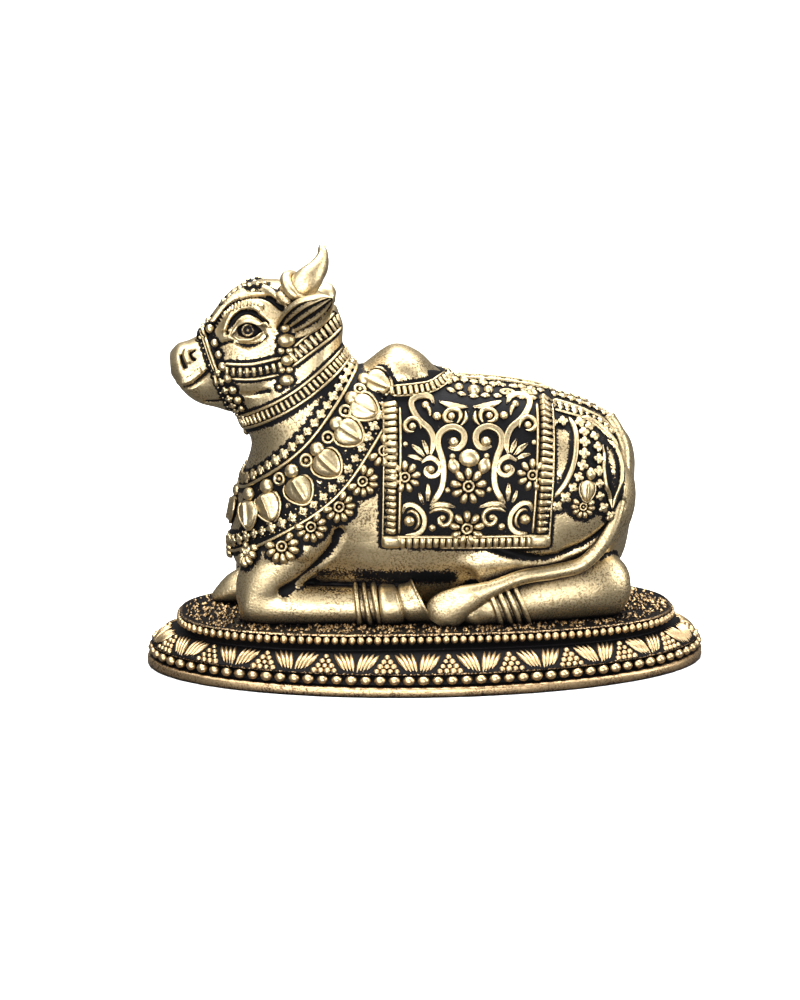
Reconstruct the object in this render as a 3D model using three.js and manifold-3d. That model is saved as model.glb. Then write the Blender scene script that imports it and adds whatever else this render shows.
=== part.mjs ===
// A seated bull in cast brass, with bridle, necklace, saddle cloth and rump ornament, lying on an
// oval lotus plinth. Millimetres, +Z up. The bull faces -X and the tail lies on the -Y side.
// The origin is the middle of the plinth's underside.
import * as THREE from "three";
import { mergeVertices } from "three/addons/utils/BufferGeometryUtils.js";
import Module from "manifold-3d";

// Plinth, upwards from its underside: rim, beads, lotus band, groove, deck edge with beads
const plinthLength = 85.6;
const plinthDepth = 43.0;
const deckSquareness = 2.5; // 2 is a true ellipse, as the foot is
const rimBeadCount = 96;
const rimHeight = 1.5;
const rimRounding = 0.35;
const beadSeatHeight = 1.75;
const rimBeadRise = 0.85;
const rimStep = 0.2; // the rim stands this far outside its beads
const bandHeight = 2.0;
const bandRun = 2.9;
const bandLip = 0.35;
const palmettePitch = 9.2;
const palmetteRise = 0.55;
const palmetteLeafWidth = 2.0;
const palmetteSpread = 0.36; // of the pitch, to each side
const palmetteMargin = 0.04; // of the pitch and of the band's run, left bare
const grooveDepth = 0.5;
const deckEdgeHeight = 2.6;
const deckEdgeInset = 4.9;
const deckEdgeRounding = 0.5;

// Figure: its height from the foot of its stations to the horn tips carries its pose and carving
const figureHeight = 57;
const drawnUnits = 57; // the height at which the stations below are written
const u = figureHeight / drawnUnits;
const figurePlace = -0.4; // along the plinth, from its middle
const footCut = 0.7; // its stations start this far below the deck
const clearOfFigure = 60; // farther out than any of it
const bodySides = 12;
const limbSides = 8;
const slimSides = 6; // horns, ears and tail
const girdlePoints = 11;

// Dress and harness
const clothBorderWidth = 2.1;
const clothBorderRise = 0.6;
const railRadius = 0.45;
const collarWidth = 2.2;
const strapWidth = 1.9;
const scrollRadius = 0.45;
const ridgeRise = 0.7; // no ridge stands higher than this
const ridgeSpread = 1.25; // half its foot, as a share of its radius
const reliefSink = 0.9; // how far the root of applied ornament reaches into the body
const edgeSink = 0.3; // and its edge
const beadSink = 0.25; // of its radius
const petalNotch = 0.66; // between petals, of their reach
const pearWaist = 0.36; // how much wider a pear shape is above its middle than below
const curlTightness = 0.7; // how far a curl winds in, of its radius
const daisyRise = 0.75;
const fringeRadius = 2.3;
const fringeRise = 0.85;
const fringeSpacing = 5.3;
const fringeReach = 5; // flowers to each side of the middle one
const dropLength = 3.9;
const dropWidth = 3.3;
const dropRise = 1.0;
const dropSpacing = 4.8;
const dropReach = 7; // drops to each side of the middle one
const crupperBeadRadius = 1.0;
const haunchStringWidth = 1.3;
const bangleRise = 0.4;

const brassColour = 0xb5975a;
const brassRoughness = 0.38;

const wasm = await Module();
wasm.setup();
const { Manifold, Mesh } = wasm;

const vec = (x, y, z) => new THREE.Vector3(x, y, z);
const fullTurn = 2 * Math.PI;

// A closed three.js geometry as a solid with its faces pointing out
function solid(geometry) {
  const bare = geometry.clone();
  bare.deleteAttribute("normal");
  bare.deleteAttribute("uv");
  const merged = mergeVertices(bare, 1e-5);
  const corners = [];
  for (let i = 0; i < merged.index.count; i += 3) {
    const [a, b, c] = merged.index.array.slice(i, i + 3);
    if (a !== b && b !== c && c !== a) corners.push(a, b, c);
  }
  const vertProperties = merged.attributes.position.array;
  const make = (triVerts) => new Manifold(new Mesh({ numProp: 3, vertProperties, triVerts }));
  const made = make(new Uint32Array(corners));
  return made.volume() > 0 ? made : make(new Uint32Array(corners.reverse()));
}

function geometryOf(shape) {
  const mesh = shape.getMesh();
  const geometry = new THREE.BufferGeometry();
  geometry.setAttribute("position", new THREE.BufferAttribute(mesh.vertProperties, 3));
  geometry.setIndex(new THREE.BufferAttribute(mesh.triVerts, 1));
  return geometry;
}

const join = (shapes) => shapes.reduce((whole, shape) => whole.add(shape));

const middleOf = (ring) => {
  const sum = ring.reduce((total, point) => total.add(point), vec(0, 0, 0));
  return sum.divideScalar(ring.length);
};

// A skin over rings of equally many points, closed by a fan to a tip at each end
function skin(rings, tip = middleOf(rings.at(-1)), root = middleOf(rings[0])) {
  const count = rings[0].length;
  const points = [...rings.flat(), root, tip];
  const last = (rings.length - 1) * count;
  const index = [];
  for (let s = 0; s < count; s++) {
    const t = (s + 1) % count;
    index.push(last + count, t, s, last + count + 1, last + s, last + t);
    for (let r = 0; r < last; r += count) {
      index.push(r + s, r + t, r + count + t, r + s, r + count + t, r + count + s);
    }
  }
  return solid(new THREE.BufferGeometry().setFromPoints(points).setIndex(index));
}

// The same round a loop, where the last ring meets the first
function loopSkin(rings) {
  const count = rings[0].length;
  const total = rings.length * count;
  const index = [];
  for (let r = 0; r < total; r += count) {
    const next = (r + count) % total;
    for (let s = 0; s < count; s++) {
      const t = (s + 1) % count;
      index.push(r + s, r + t, next + t, r + s, next + t, next + s);
    }
  }
  return solid(new THREE.BufferGeometry().setFromPoints(rings.flat()).setIndex(index));
}

// The row between two stations, on a smooth curve through them all
function rowAt(rows, place) {
  const from = Math.min(Math.floor(place), rows.length - 2);
  const t = place - from;
  const row = (i) => rows[THREE.MathUtils.clamp(i, 0, rows.length - 1)];
  return rows[from].map((b, c) => {
    const d = row(from + 1)[c];
    const slopeIn = (d - row(from - 1)[c]) / 2;
    const slopeOut = (row(from + 2)[c] - b) / 2;
    const bend = 2 * b - 2 * d + slopeIn + slopeOut;
    return b + t * (slopeIn + t * (3 * (d - b) - 2 * slopeIn - slopeOut + t * bend));
  });
}

// The cosine and sine of a circle squared off by a power
function squircle(angle, power) {
  const bend = (v) => Math.sign(v) * Math.abs(v) ** (2 / power);
  return [bend(Math.cos(angle)), bend(Math.sin(angle))];
}

// Sections across the bull, each [lowX, lowZ, highX, highZ, halfWidth], grown by a thickness
function crossRings(rows, power, count, grow = 0) {
  return rows.map(([lowX, lowZ, highX, highZ, halfWidth]) => {
    const low = vec(lowX, 0, lowZ).multiplyScalar(u);
    const high = vec(highX, 0, highZ).multiplyScalar(u);
    const centre = middleOf([low, high]);
    const tall = high.clone().sub(low).divideScalar(2);
    tall.setLength(tall.length() + grow);
    return Array.from({ length: count }, (_, s) => {
      const [c, d] = squircle((s / count) * fullTurn, power);
      return centre.clone().addScaledVector(tall, d).add(vec(0, c * (halfWidth * u + grow), 0));
    });
  });
}

// Sections of a limb, each [x, y, z, sideRadius, upRadius], set across its path
function limbRings(rows, count = limbSides) {
  const path = rows.map(([x, y, z]) => vec(x, y, z).multiplyScalar(u));
  return rows.map(([, , , sideRadius, upRadius], i) => {
    const along = path[Math.min(i + 1, rows.length - 1)].clone().sub(path[Math.max(i - 1, 0)]);
    along.normalize();
    const side = vec(0, 0, 1).cross(along);
    if (side.length() < 0.3) side.set(0, 1, 0);
    side.normalize();
    const up = along.clone().cross(side);
    return Array.from({ length: count }, (_, s) => {
      const angle = (s / count) * fullTurn;
      const point = path[i].clone().addScaledVector(side, Math.cos(angle) * sideRadius * u);
      return point.addScaledVector(up, Math.sin(angle) * upRadius * u);
    });
  });
}

function ellipsoid(centre, radii, wide = 11, high = 6) {
  const ball = new THREE.SphereGeometry(u, wide, high).rotateX(Math.PI / 2);
  ball.scale(...radii).translate(...centre.map((c) => c * u));
  return solid(ball);
}

const mirrored = (rows) => rows.map(([x, y, ...rest]) => [x, -y, ...rest]);
const bothSides = (rows) => [rows, mirrored(rows)];

const bodyPower = 2.3;
const neckPower = 2.15;
const torsoStations = [
  [-24, 9, -25, 24, 5.5],
  [-20, 6.5, -20, 30, 9.0],
  [-13, 1.0, -13, 34, 10.2],
  [-5, -1.0, -5, 35.3, 10.7],
  [3, -1.0, 3, 35.7, 11.0],
  [11, -1.0, 11, 35.2, 11.2],
  [18, 0.0, 18, 33.9, 11.0],
  [24, 5.2, 24, 32.2, 10.2],
  [28, 6.2, 28, 30.0, 8.4],
  [30.2, 8.4, 31.0, 27.0, 5.6],
  [31.2, 13.5, 32.0, 24.0, 2.6],
];
const neckStations = [
  [-25, 36.5, -13.2, 46.9, 5.6],
  [-27.6, 31.8, -12.2, 44.4, 6.4],
  [-27.5, 30.0, -12.2, 41.4, 7.0],
  [-26.0, 27, -11.0, 38.8, 7.7],
  [-26.0, 24.3, -8, 37.2, 8.6],
  [-27.6, 20.9, -4, 35, 9.6],
  [-28.6, 17, 0, 30, 10.2],
  [-29.4, 12.2, -3, 21, 9.8],
  [-28.8, 8.5, -8, 12, 8.4],
  [-25.8, 5.2, -12, 7, 5.6],
];
const headStations = [
  [-20, 36.5, -14.0, 45.6, 3.4],
  [-23, 32.8, -14.2, 48.3, 5.4],
  [-26.6, 31.3, -18.6, 50.5, 6.5],
  [-29.2, 31.4, -24.0, 51.1, 6.5],
  [-31.2, 32.0, -28.0, 49.4, 5.6],
  [-32.5, 32.3, -30.9, 46.2, 4.5],
  [-33.5, 32.6, -33.1, 43.4, 4.0],
  [-34.9, 33.4, -35.0, 42.2, 4.3],
  [-36.3, 34.8, -36.8, 41.6, 4.2],
  [-37.9, 37.0, -38.2, 40.4, 3.0],
];
const humpStations = [
  [-10.8, 33.2, -10.4, 37.0, 2.6],
  [-8.4, 32.5, -8.0, 39.0, 4.6],
  [-4.9, 32, -4.5, 41.1, 5.8],
  [-1.4, 32, -1.0, 40.0, 5.6],
  [1.8, 32, 1.8, 37.4, 4.2],
  [4.4, 32.5, 4.2, 35.7, 2.4],
];
const thighStation = [21.4, -6.3, 18.9];
const thighRadii = [10.2, 6.0, 10.4];

// Forelegs, folded under: shoulder down to the knee, and shin back to the hoof
const upperForeleg = [
  [-13, -7.6, 21, 2.8, 4.4],
  [-16, -7.9, 17.5, 3.4, 5.6],
  [-20, -7.9, 12.5, 3.6, 5.2],
  [-24, -7.4, 7.4, 3.5, 4.4],
  [-25.6, -7.2, 4.2, 3.0, 3.4],
  [-26.0, -7.1, 2.2, 1.6, 1.8],
];
const foreShin = [
  [-28.0, -7.1, 4.1, 1.6, 1.7],
  [-26.8, -7.2, 3.9, 2.9, 3.5],
  [-23, -7.5, 3.3, 3.1, 3.5],
  [-16, -8.0, 3.0, 2.8, 3.1],
  [-10.2, -8.4, 2.9, 2.5, 2.9],
  [-6.4, -8.6, 3.0, 2.6, 3.1],
  [-5.2, -8.7, 3.0, 3.0, 3.5],
  [-4.2, -8.8, 3.0, 2.6, 3.2],
  [-1.6, -8.9, 3.2, 3.1, 4.0],
  [0.2, -9.0, 1.6, 2.7, 2.4],
];
const foreBangles = [4.12, 4.84]; // between these stations of the shin
const farToe = [
  [-24, 4.2, 4.2, 3.2, 3.2],
  [-28.2, 4.2, 3.2, 2.5, 2.6],
  [-30.8, 4.2, 2.0, 1.6, 1.6],
  [-32.4, 4.2, 1.2, 0.7, 0.7],
];
const hindShank = [
  [30.0, -6.2, 5.4, 2.2, 2.8],
  [28.2, -6.8, 5.3, 3.4, 4.8],
  [25, -7.4, 4.9, 3.9, 4.8],
  [19, -8.6, 4.2, 3.3, 4.2],
  [14.6, -9.3, 3.6, 2.8, 3.6],
  [10.6, -9.9, 3.2, 2.7, 3.4],
  [9.2, -10.0, 3.1, 3.1, 3.7],
  [7.8, -10.1, 3.0, 2.7, 3.3],
  [5.6, -10.2, 2.6, 3.0, 3.2],
  [4.4, -10.2, 1.6, 2.0, 1.8],
];
const hindBangles = [4.05, 4.9];
const bangleCount = 3;
const stifle = [
  [17, -6.6, 13, 4.4, 5.6],
  [11, -8.2, 9.6, 2.9, 4.2],
  [7.2, -8.8, 7.9, 1.6, 2.2],
];
const horn = [
  [-21.6, -3.6, 47.6, 2.3, 2.6],
  [-20.0, -4.6, 50.1, 2.2, 2.8],
  [-17.3, -4.7, 52.1, 1.6, 1.9],
  [-15.5, -4.0, 54.1, 1.2, 1.3],
  [-15.0, -3.0, 55.7, 0.8, 0.85],
  [-15.3, -2.4, 56.6, 0.3, 0.3],
];
const farHorn = [
  [-21.2, 3.6, 47.2, 2.3, 2.6],
  [-19.2, 4.4, 49.2, 2.1, 2.4],
  [-16.5, 4.2, 50.8, 1.5, 1.7],
  [-14.8, 3.4, 52.7, 1.1, 1.2],
  [-14.5, 2.6, 54.3, 0.7, 0.7],
  [-14.8, 2.2, 55.0, 0.25, 0.25],
];
const ear = [
  [-21.0, -5.0, 43.0, 0.8, 1.4],
  [-19.4, -6.5, 44.5, 1.0, 2.8],
  [-17.4, -7.9, 46.6, 0.9, 3.1],
  [-15.5, -9.0, 48.3, 0.7, 2.1],
  [-14.2, -9.6, 49.3, 0.25, 0.5],
];
const farEar = [
  [-20.4, 5.0, 43.4, 0.8, 1.2],
  [-18.2, 6.5, 45.0, 1.0, 2.6],
  [-16.0, 7.9, 46.8, 0.9, 2.8],
  [-14.2, 8.8, 48.2, 0.7, 1.9],
  [-12.8, 9.2, 49.4, 0.3, 0.6],
];
const tail = [
  [27.6, -2.6, 30.2, 1.1, 1.1],
  [29.4, -5.4, 26.2, 1.1, 1.1],
  [28.9, -8.2, 20.4, 1.1, 1.1],
  [26.8, -10.2, 14.2, 1.1, 1.1],
  [23.2, -11.1, 9.9, 1.1, 1.1],
  [18.8, -11.3, 8.6, 1.1, 1.1],
  [13.6, -11.8, 7.9, 1.1, 1.1],
  [9.0, -12.4, 6.3, 1.0, 1.3],
  [5.0, -12.4, 4.6, 1.3, 2.4],
  [2.0, -12.0, 2.7, 1.2, 2.9],
  [1.0, -11.8, 1.2, 0.8, 1.6],
];

// A limb whose rings stand proud where its bangles are
function withBangles(rows, [from, to]) {
  const rings = Array.from({ length: 2 * bangleCount + 1 }, (_, i) => {
    const row = rowAt(rows, from + ((to - from) * i) / (2 * bangleCount));
    const proud = i % 2 === 1 ? bangleRise : 0;
    return [...row.slice(0, 3), row[3] + proud, row[4] + proud];
  });
  return [...rows.slice(0, Math.ceil(from)), ...rings, ...rows.slice(Math.floor(to) + 1)];
}

function bareBull() {
  const shapes = [
    skin(crossRings(torsoStations, bodyPower, bodySides)),
    skin(crossRings(neckStations, neckPower, bodySides)),
    skin(crossRings(headStations, bodyPower, bodySides)),
    skin(crossRings(humpStations, 2, bodySides)),
    skin(limbRings(farToe)),
  ];
  const nearLegs = [withBangles(foreShin, foreBangles), withBangles(hindShank, hindBangles)];
  const farLegs = [foreShin, hindShank].map(mirrored);
  for (const rows of [...nearLegs, ...farLegs, ...[upperForeleg, stifle].flatMap(bothSides)]) {
    shapes.push(skin(limbRings(rows)));
  }
  for (const [centre] of bothSides([thighStation])) shapes.push(ellipsoid(centre, thighRadii));
  return join(shapes);
}

const bareBody = bareBull();
const bodySurface = new THREE.Mesh(
  geometryOf(bareBody),
  new THREE.MeshBasicMaterial({ side: THREE.DoubleSide }),
);
const probe = new THREE.Raycaster();

// Where a line first meets the body's surface: the point there, and the way out
function meet(from, direction) {
  probe.set(from, direction);
  const [hit] = probe.intersectObject(bodySurface);
  return { point: hit.point, out: hit.face.normal.clone() };
}

// On one flank, at a place along and up; side -1 is the tail's side
const onFlank = (side) => ([x, z]) => meet(vec(x * u, side * clearOfFigure, z * u), vec(0, -side, 0));

// Round the neck or muzzle, in a plane through two points [x, z] of the profile, sagging between
// them, over a share of the way round that is centred on the front
function girdle({ front, back, sag = 0, share = 1 }, count = girdlePoints) {
  const start = vec(front[0], 0, front[1]).multiplyScalar(u);
  const end = vec(back[0], 0, back[1]).multiplyScalar(u);
  const centre = middleOf([start, end]);
  const forward = start.clone().sub(end).normalize();
  const down = vec(0, 1, 0).cross(forward);
  if (down.z > 0) down.negate();
  return Array.from({ length: count }, (_, i) => {
    const angle = share < 1 ? fullTurn * share * (i / (count - 1) - 0.5) : fullTurn * (i / count);
    const drop = sag * u * Math.sin(angle) ** 2;
    const direction = forward.clone().multiplyScalar(Math.cos(angle));
    direction.y -= Math.sin(angle);
    return meet(centre.clone().addScaledVector(down, drop), direction);
  });
}

// Places evenly spaced along a girdle, from the middle of the chest back along both sides
function spaced(places, spacing, reach) {
  const curve = new THREE.CatmullRomCurve3(places.map((place) => place.point), true);
  const length = curve.getLength();
  const made = [];
  for (let i = -reach; i <= reach; i++) {
    const share = ((i * spacing) / length + 1) % 1;
    const { out } = places[Math.round(share * places.length) % places.length];
    made.push({ point: curve.getPointAt(share), out });
  }
  return made;
}

// Axes at a place: across, along (as near as can be to a wish) and out of the surface
function axesAt({ out }, wish) {
  const across = wish.clone().cross(out).normalize();
  const along = out.clone().cross(across);
  return [across, along];
}

function offset({ point, out }, [across, along], [a, b], height) {
  const moved = point.clone().addScaledVector(across, a).addScaledVector(along, b);
  return moved.addScaledVector(out, height);
}

// A low boss of a given outline [across, along], domed up to its middle
function boss(place, outline, rise, wish = vec(0, 0, 1)) {
  const axes = axesAt(place, wish);
  const edge = outline.map((spot) => offset(place, axes, spot, -edgeSink));
  return skin([edge], offset(place, axes, [0, 0], rise), offset(place, axes, [0, 0], -reliefSink));
}

// Three-sided rings for a ridge over a row of places
function ridgeRings(places, radius, closed) {
  const count = places.length;
  return places.map((place, i) => {
    const after = closed ? (i + 1) % count : Math.min(i + 1, count - 1);
    const before = closed ? (i + count - 1) % count : Math.max(i - 1, 0);
    const axes = axesAt(place, places[after].point.clone().sub(places[before].point));
    const rise = Math.min(radius, ridgeRise);
    const half = radius * ridgeSpread;
    const feet = [-half, half].map((a) => offset(place, axes, [a, 0], -edgeSink));
    return [...feet, offset(place, axes, [0, 0], rise)];
  });
}

const ridge = (places, radius = railRadius) => skin(ridgeRings(places, radius, false));
const hoop = (places, radius = railRadius) => loopSkin(ridgeRings(places, radius, true));

function bead({ point, out }, radius) {
  const stud = new THREE.OctahedronGeometry(radius);
  stud.lookAt(out);
  const centre = point.clone().addScaledVector(out, -beadSink * radius);
  return solid(stud.translate(centre.x, centre.y, centre.z));
}

function petalled(radius, petals, from = 0, sweep = fullTurn) {
  const steps = petals * 2;
  const last = sweep < fullTurn ? steps + 1 : steps;
  return Array.from({ length: last }, (_, i) => {
    const reach = radius * (i % 2 ? 1 : petalNotch);
    const angle = from + (sweep * i) / steps;
    return [reach * Math.cos(angle), reach * Math.sin(angle)];
  });
}

function oval(length, height, count = 6) {
  return Array.from({ length: count }, (_, i) => {
    const angle = (i / count) * fullTurn;
    return [(length / 2) * Math.cos(angle), (height / 2) * Math.sin(angle)];
  });
}

// A pear shape, widest above its middle, with its point down
function pear(width, length, count = 6) {
  return Array.from({ length: count }, (_, i) => {
    const angle = -Math.PI / 2 + (i / count) * fullTurn;
    const full = (1 + pearWaist * Math.sin(angle)) / 2;
    return [width * full * Math.cos(angle), (length / 2) * Math.sin(angle)];
  });
}

// The points [x, z] of a curl that winds in towards its centre
function curl([x, z], radius, from, turns, count = 4) {
  return Array.from({ length: count }, (_, i) => {
    const share = i / (count - 1);
    const angle = from + turns * fullTurn * share;
    const reach = radius * (1 - curlTightness * share);
    return [x + reach * Math.cos(angle), z + reach * Math.sin(angle)];
  });
}

// Bridle and face
const noseband = { front: [-33.7, 43.4], back: [-28.4, 31.6] };
const cheekStrap = [[-29.6, 38.4], [-25.6, 38.6], [-21.6, 39.2]];
const headstall = [[-19.9, 40.0], [-17.2, 42.4], [-14.6, 45.2]];
const browRidge = [[-29.2, 45.4], [-28.0, 46.9], [-25.4, 47.3], [-22.9, 46.2]];
const eyePlace = [-26.3, 44.6];
const eyeOutline = oval(5.0, 2.4);
const eyeRise = 0.8;
const cheekBeadTop = [-21.0, 44.8];
const cheekBeadBottom = [-21.0, 36.4];
const cheekBeadRadii = [0.9, 1.1, 1.3, 1.5];
const nostril = [-35.4, -3.6, 40.1];
const nostrilRadii = [0.7, 0.9, 1.1];
const mouthRadius = 0.35;
const mouth = [[-36.3, 35.8], [-34.6, 36.3], [-33.0, 37.4], [-32.0, 38.9]];

function bridle() {
  const shapes = [hoop(girdle(noseband, 8))];
  for (const side of [-1, 1]) {
    const seat = onFlank(side);
    shapes.push(ridge(browRidge.map(seat)));
    shapes.push(ridge(cheekStrap.map(seat), strapWidth / 2));
    shapes.push(ridge(headstall.map(seat), strapWidth / 2));
    shapes.push(boss(seat(eyePlace), eyeOutline, eyeRise));
    cheekBeadRadii.forEach((radius, i) => {
      const share = i / (cheekBeadRadii.length - 1);
      const x = THREE.MathUtils.lerp(cheekBeadTop[0], cheekBeadBottom[0], share);
      const z = THREE.MathUtils.lerp(cheekBeadTop[1], cheekBeadBottom[1], share);
      shapes.push(bead(seat([x, z]), radius));
    });
  }
  return join(shapes);
}

// Collar and necklace, each line by its two points on the profile and its sag
const collarLine = { front: [-27.6, 29.6], back: [-12.1, 40.1], sag: 0.7 };
const upperLine = { front: [-28.0, 20.4], back: [-10.3, 38.0], sag: 0.3, share: 0.8 };
const dropLine = { front: [-28.6, 17.2], back: [-7.6, 38.0], sag: 0.9 };
const lowerLine = { front: [-29.2, 10.8], back: [-4.0, 35.4], sag: 3.0, share: 0.66 };
const fringeLine = { front: [-29.2, 9.4], back: [-3.2, 34.0], sag: 3.2 };

function necklace() {
  const shapes = [hoop(girdle(collarLine), collarWidth / 2)];
  shapes.push(ridge(girdle(upperLine, 9)), ridge(girdle(lowerLine, 9)));
  for (const place of spaced(girdle(dropLine), dropSpacing, dropReach)) {
    shapes.push(boss(place, pear(dropWidth, dropLength), dropRise));
  }
  const halfFlower = petalled(fringeRadius, 4, -0.1, Math.PI + 0.2);
  for (const place of spaced(girdle(fringeLine), fringeSpacing, fringeReach)) {
    shapes.push(boss(place, halfFlower, fringeRise, vec(-0.2, 0, -1)));
  }
  return join(shapes);
}

// Saddle cloth
const clothFront = -6.4;
const clothBack = 17.8;
const clothHem = 12.0;
const clothMiddle = (clothFront + clothBack) / 2;

// A block between two planes across the bull, from a level up
function block(front, back, hem) {
  const tall = clearOfFigure - hem * u;
  const box = new THREE.BoxGeometry((back - front) * u, clearOfFigure, tall);
  return solid(box.translate(((front + back) / 2) * u, 0, hem * u + tall / 2));
}

function cloth() {
  const border = skin(crossRings(torsoStations, bodyPower, bodySides, clothBorderRise));
  const outer = block(clothFront, clothBack, clothHem);
  const inner = block(
    clothFront + clothBorderWidth,
    clothBack - clothBorderWidth,
    clothHem + clothBorderWidth,
  );
  return border.intersect(outer.subtract(inner));
}

// The cloth's pattern, each spot as [distance from its middle, z]
const daisies = [
  { spot: [0, 21.4], radius: 2.7, petals: 8 },
  { spot: [0, 16.0], radius: 2.2, petals: 5 },
  { spot: [8.2, 23.0], radius: 2.2, petals: 5 },
];
const tallScroll = [
  ...curl([2.5, 27.8], 1.7, 0.2, 0.8).reverse(),
  [3.9, 24.0],
  [5.2, 19.4],
  [7.6, 16.9],
  [8.8, 18.4],
];
const upperScroll = [
  ...curl([6.6, 31.4], 1.4, Math.PI, -0.8).reverse(),
  [5.3, 28.6],
  [5.6, 26.0],
  [7.0, 26.4],
];

function clothPattern() {
  const shapes = [];
  for (const side of [-1, 1]) {
    const seat = onFlank(side);
    for (const way of [-1, 1]) {
      const spotAt = ([away, z]) => [clothMiddle + way * away, z];
      for (const { spot, radius, petals } of daisies) {
        if (way < 0 && spot[0] === 0) continue;
        shapes.push(boss(seat(spotAt(spot)), petalled(radius, petals), daisyRise));
      }
      for (const line of [tallScroll, upperScroll]) {
        shapes.push(ridge(line.map(spotAt).map(seat), scrollRadius));
      }
    }
  }
  return join(shapes);
}

// Crupper along the spine, and the ornament on each haunch
const crupperFrom = 19.2;
const crupperTo = 29.6;
const crupperBeads = 6;
const haunchRail = [[21.2, 30.0], [21.4, 25.2], [18.2, 20.4]];
const haunchString = [[24.4, 28.6], [24.6, 22.0], [26.2, 16.4]];
const haunchFlower = [22.2, 18.6];

function rumpOrnament() {
  const shapes = [];
  for (let i = 0; i < crupperBeads; i++) {
    const x = THREE.MathUtils.lerp(crupperFrom, crupperTo, i / (crupperBeads - 1));
    const place = meet(vec(x * u, 0, clearOfFigure), vec(0, 0, -1));
    shapes.push(bead(place, crupperBeadRadius));
  }
  for (const side of [-1, 1]) {
    const seat = onFlank(side);
    shapes.push(ridge(haunchRail.map(seat)));
    shapes.push(ridge(haunchString.map(seat), haunchStringWidth / 2));
    shapes.push(boss(seat(haunchFlower), petalled(fringeRadius, 6), fringeRise));
  }
  return join(shapes);
}

// Plinth
const halfLength = plinthLength / 2;
const halfDepth = plinthDepth / 2;
const beadSeatTop = rimHeight + beadSeatHeight;
const bandTop = beadSeatTop + bandLip + bandHeight;
const deckTop = bandTop + deckEdgeHeight;
const beadSeatInset = rimBeadRise + rimStep;
const bandInset = beadSeatInset - bandLip;
const outlineSides = rimBeadCount / 2;

// The plinth's outline at an inset and a height, an ellipse unless its power is raised
function outlineCurve(inset, z, power = 2) {
  const drawn = Array.from({ length: rimBeadCount }, (_, s) => {
    const [c, d] = squircle((s / rimBeadCount) * fullTurn, power);
    return vec((halfLength - inset) * c, (halfDepth - inset) * d, z);
  });
  return new THREE.CatmullRomCurve3(drawn, true);
}

// Points evenly spaced along the outline, each half a bead on if they are shifted
function outlineAt({ inset, z, power, sides = outlineSides, shift = 0 }) {
  const curve = outlineCurve(inset, z, power);
  return Array.from({ length: sides }, (_, s) => curve.getPointAt((s + shift) / sides));
}

// A body over rings from the bottom up, one of which may have twice the points of the next, with
// a row of studs between two of them
function stack(rings, studs, studRow) {
  const points = [...rings.flat(), ...studs, middleOf(rings[0]), middleOf(rings.at(-1))];
  const index = [];
  let start = 0;
  rings.slice(1).forEach((upper, r) => {
    const lower = rings[r];
    const next = start + lower.length;
    const sides = Math.max(lower.length, upper.length);
    for (let s = 0; s < sides; s++) {
      const [a, b] = [s, s + 1].map((i) => start + (Math.floor((i * lower.length) / sides) % lower.length));
      const [d, c] = [s, s + 1].map((i) => next + (Math.floor((i * upper.length) / sides) % upper.length));
      const stud = points.length - 2 - studs.length + s;
      if (r === studRow) index.push(a, b, stud, b, c, stud, c, d, stud, d, a, stud);
      else index.push(a, b, c, a, c, d);
    }
    start = next;
  });
  for (let s = 0; s < rings[0].length; s++) {
    index.push(points.length - 2, (s + 1) % rings[0].length, s);
  }
  for (let s = 0; s < rings.at(-1).length; s++) {
    index.push(points.length - 1, start + s, start + ((s + 1) % rings.at(-1).length));
  }
  return solid(new THREE.BufferGeometry().setFromPoints(points).setIndex(index));
}

// A point of the sloping band, a share of the way round and a share of the way up it
const bandFoot = outlineCurve(bandInset, beadSeatTop + bandLip);
const bandHead = outlineCurve(bandInset + bandRun, bandTop);

function onBand(round, rise) {
  const share = (round + 1) % 1;
  const low = bandFoot.getPointAt(share);
  const high = bandHead.getPointAt(share);
  const out = bandFoot.getTangentAt(share).cross(high.clone().sub(low)).normalize();
  return { point: low.lerp(high, rise), out };
}

// Two leaves that lean apart from each low point of the band
function palmettes() {
  const count = Math.round(bandFoot.getLength() / palmettePitch);
  const leaves = [];
  for (let i = 0; i < count; i++) {
    for (const way of [-1, 1]) {
      const lean = (rise) => (i + way * (palmetteMargin + palmetteSpread * rise)) / count;
      const rises = [palmetteMargin, 0.5, 1 - palmetteMargin];
      const [root, middle, tip] = rises.map((rise) => onBand(lean(rise), rise));
      const axes = axesAt(middle, tip.point.clone().sub(root.point));
      const half = palmetteLeafWidth / 2;
      const feet = [-half, half].map((a) => offset(middle, axes, [a, 0], -palmetteRise / 2));
      leaves.push(skin([[...feet, offset(middle, axes, [0, 0], palmetteRise)]], tip.point, root.point));
    }
  }
  return leaves;
}

function plinth() {
  const fine = { sides: rimBeadCount };
  const deck = { power: deckSquareness };
  const rings = [
    { inset: rimRounding, z: 0 },
    { inset: 0, z: rimRounding, ...fine },
    { inset: 0, z: rimHeight, ...fine },
    { inset: beadSeatInset, z: rimHeight, ...fine },
    { inset: beadSeatInset, z: beadSeatTop, ...fine },
    { inset: bandInset, z: beadSeatTop + bandLip },
    { inset: bandInset + bandRun, z: bandTop },
    { inset: deckEdgeInset + grooveDepth, z: bandTop, ...deck },
    { inset: deckEdgeInset, z: bandTop + deckEdgeHeight / 3, ...deck },
    { inset: deckEdgeInset, z: deckTop - deckEdgeRounding, ...deck },
    { inset: deckEdgeInset + deckEdgeRounding, z: deckTop, ...deck },
  ];
  const beadTips = outlineAt({
    inset: beadSeatInset - rimBeadRise,
    z: rimHeight + beadSeatHeight / 2,
    shift: 0.5,
    ...fine,
  });
  const body = stack(rings.map(outlineAt), beadTips, rings.findIndex((ring) => ring.z === beadSeatTop) - 1);
  return join([body, ...palmettes()]);
}

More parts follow.
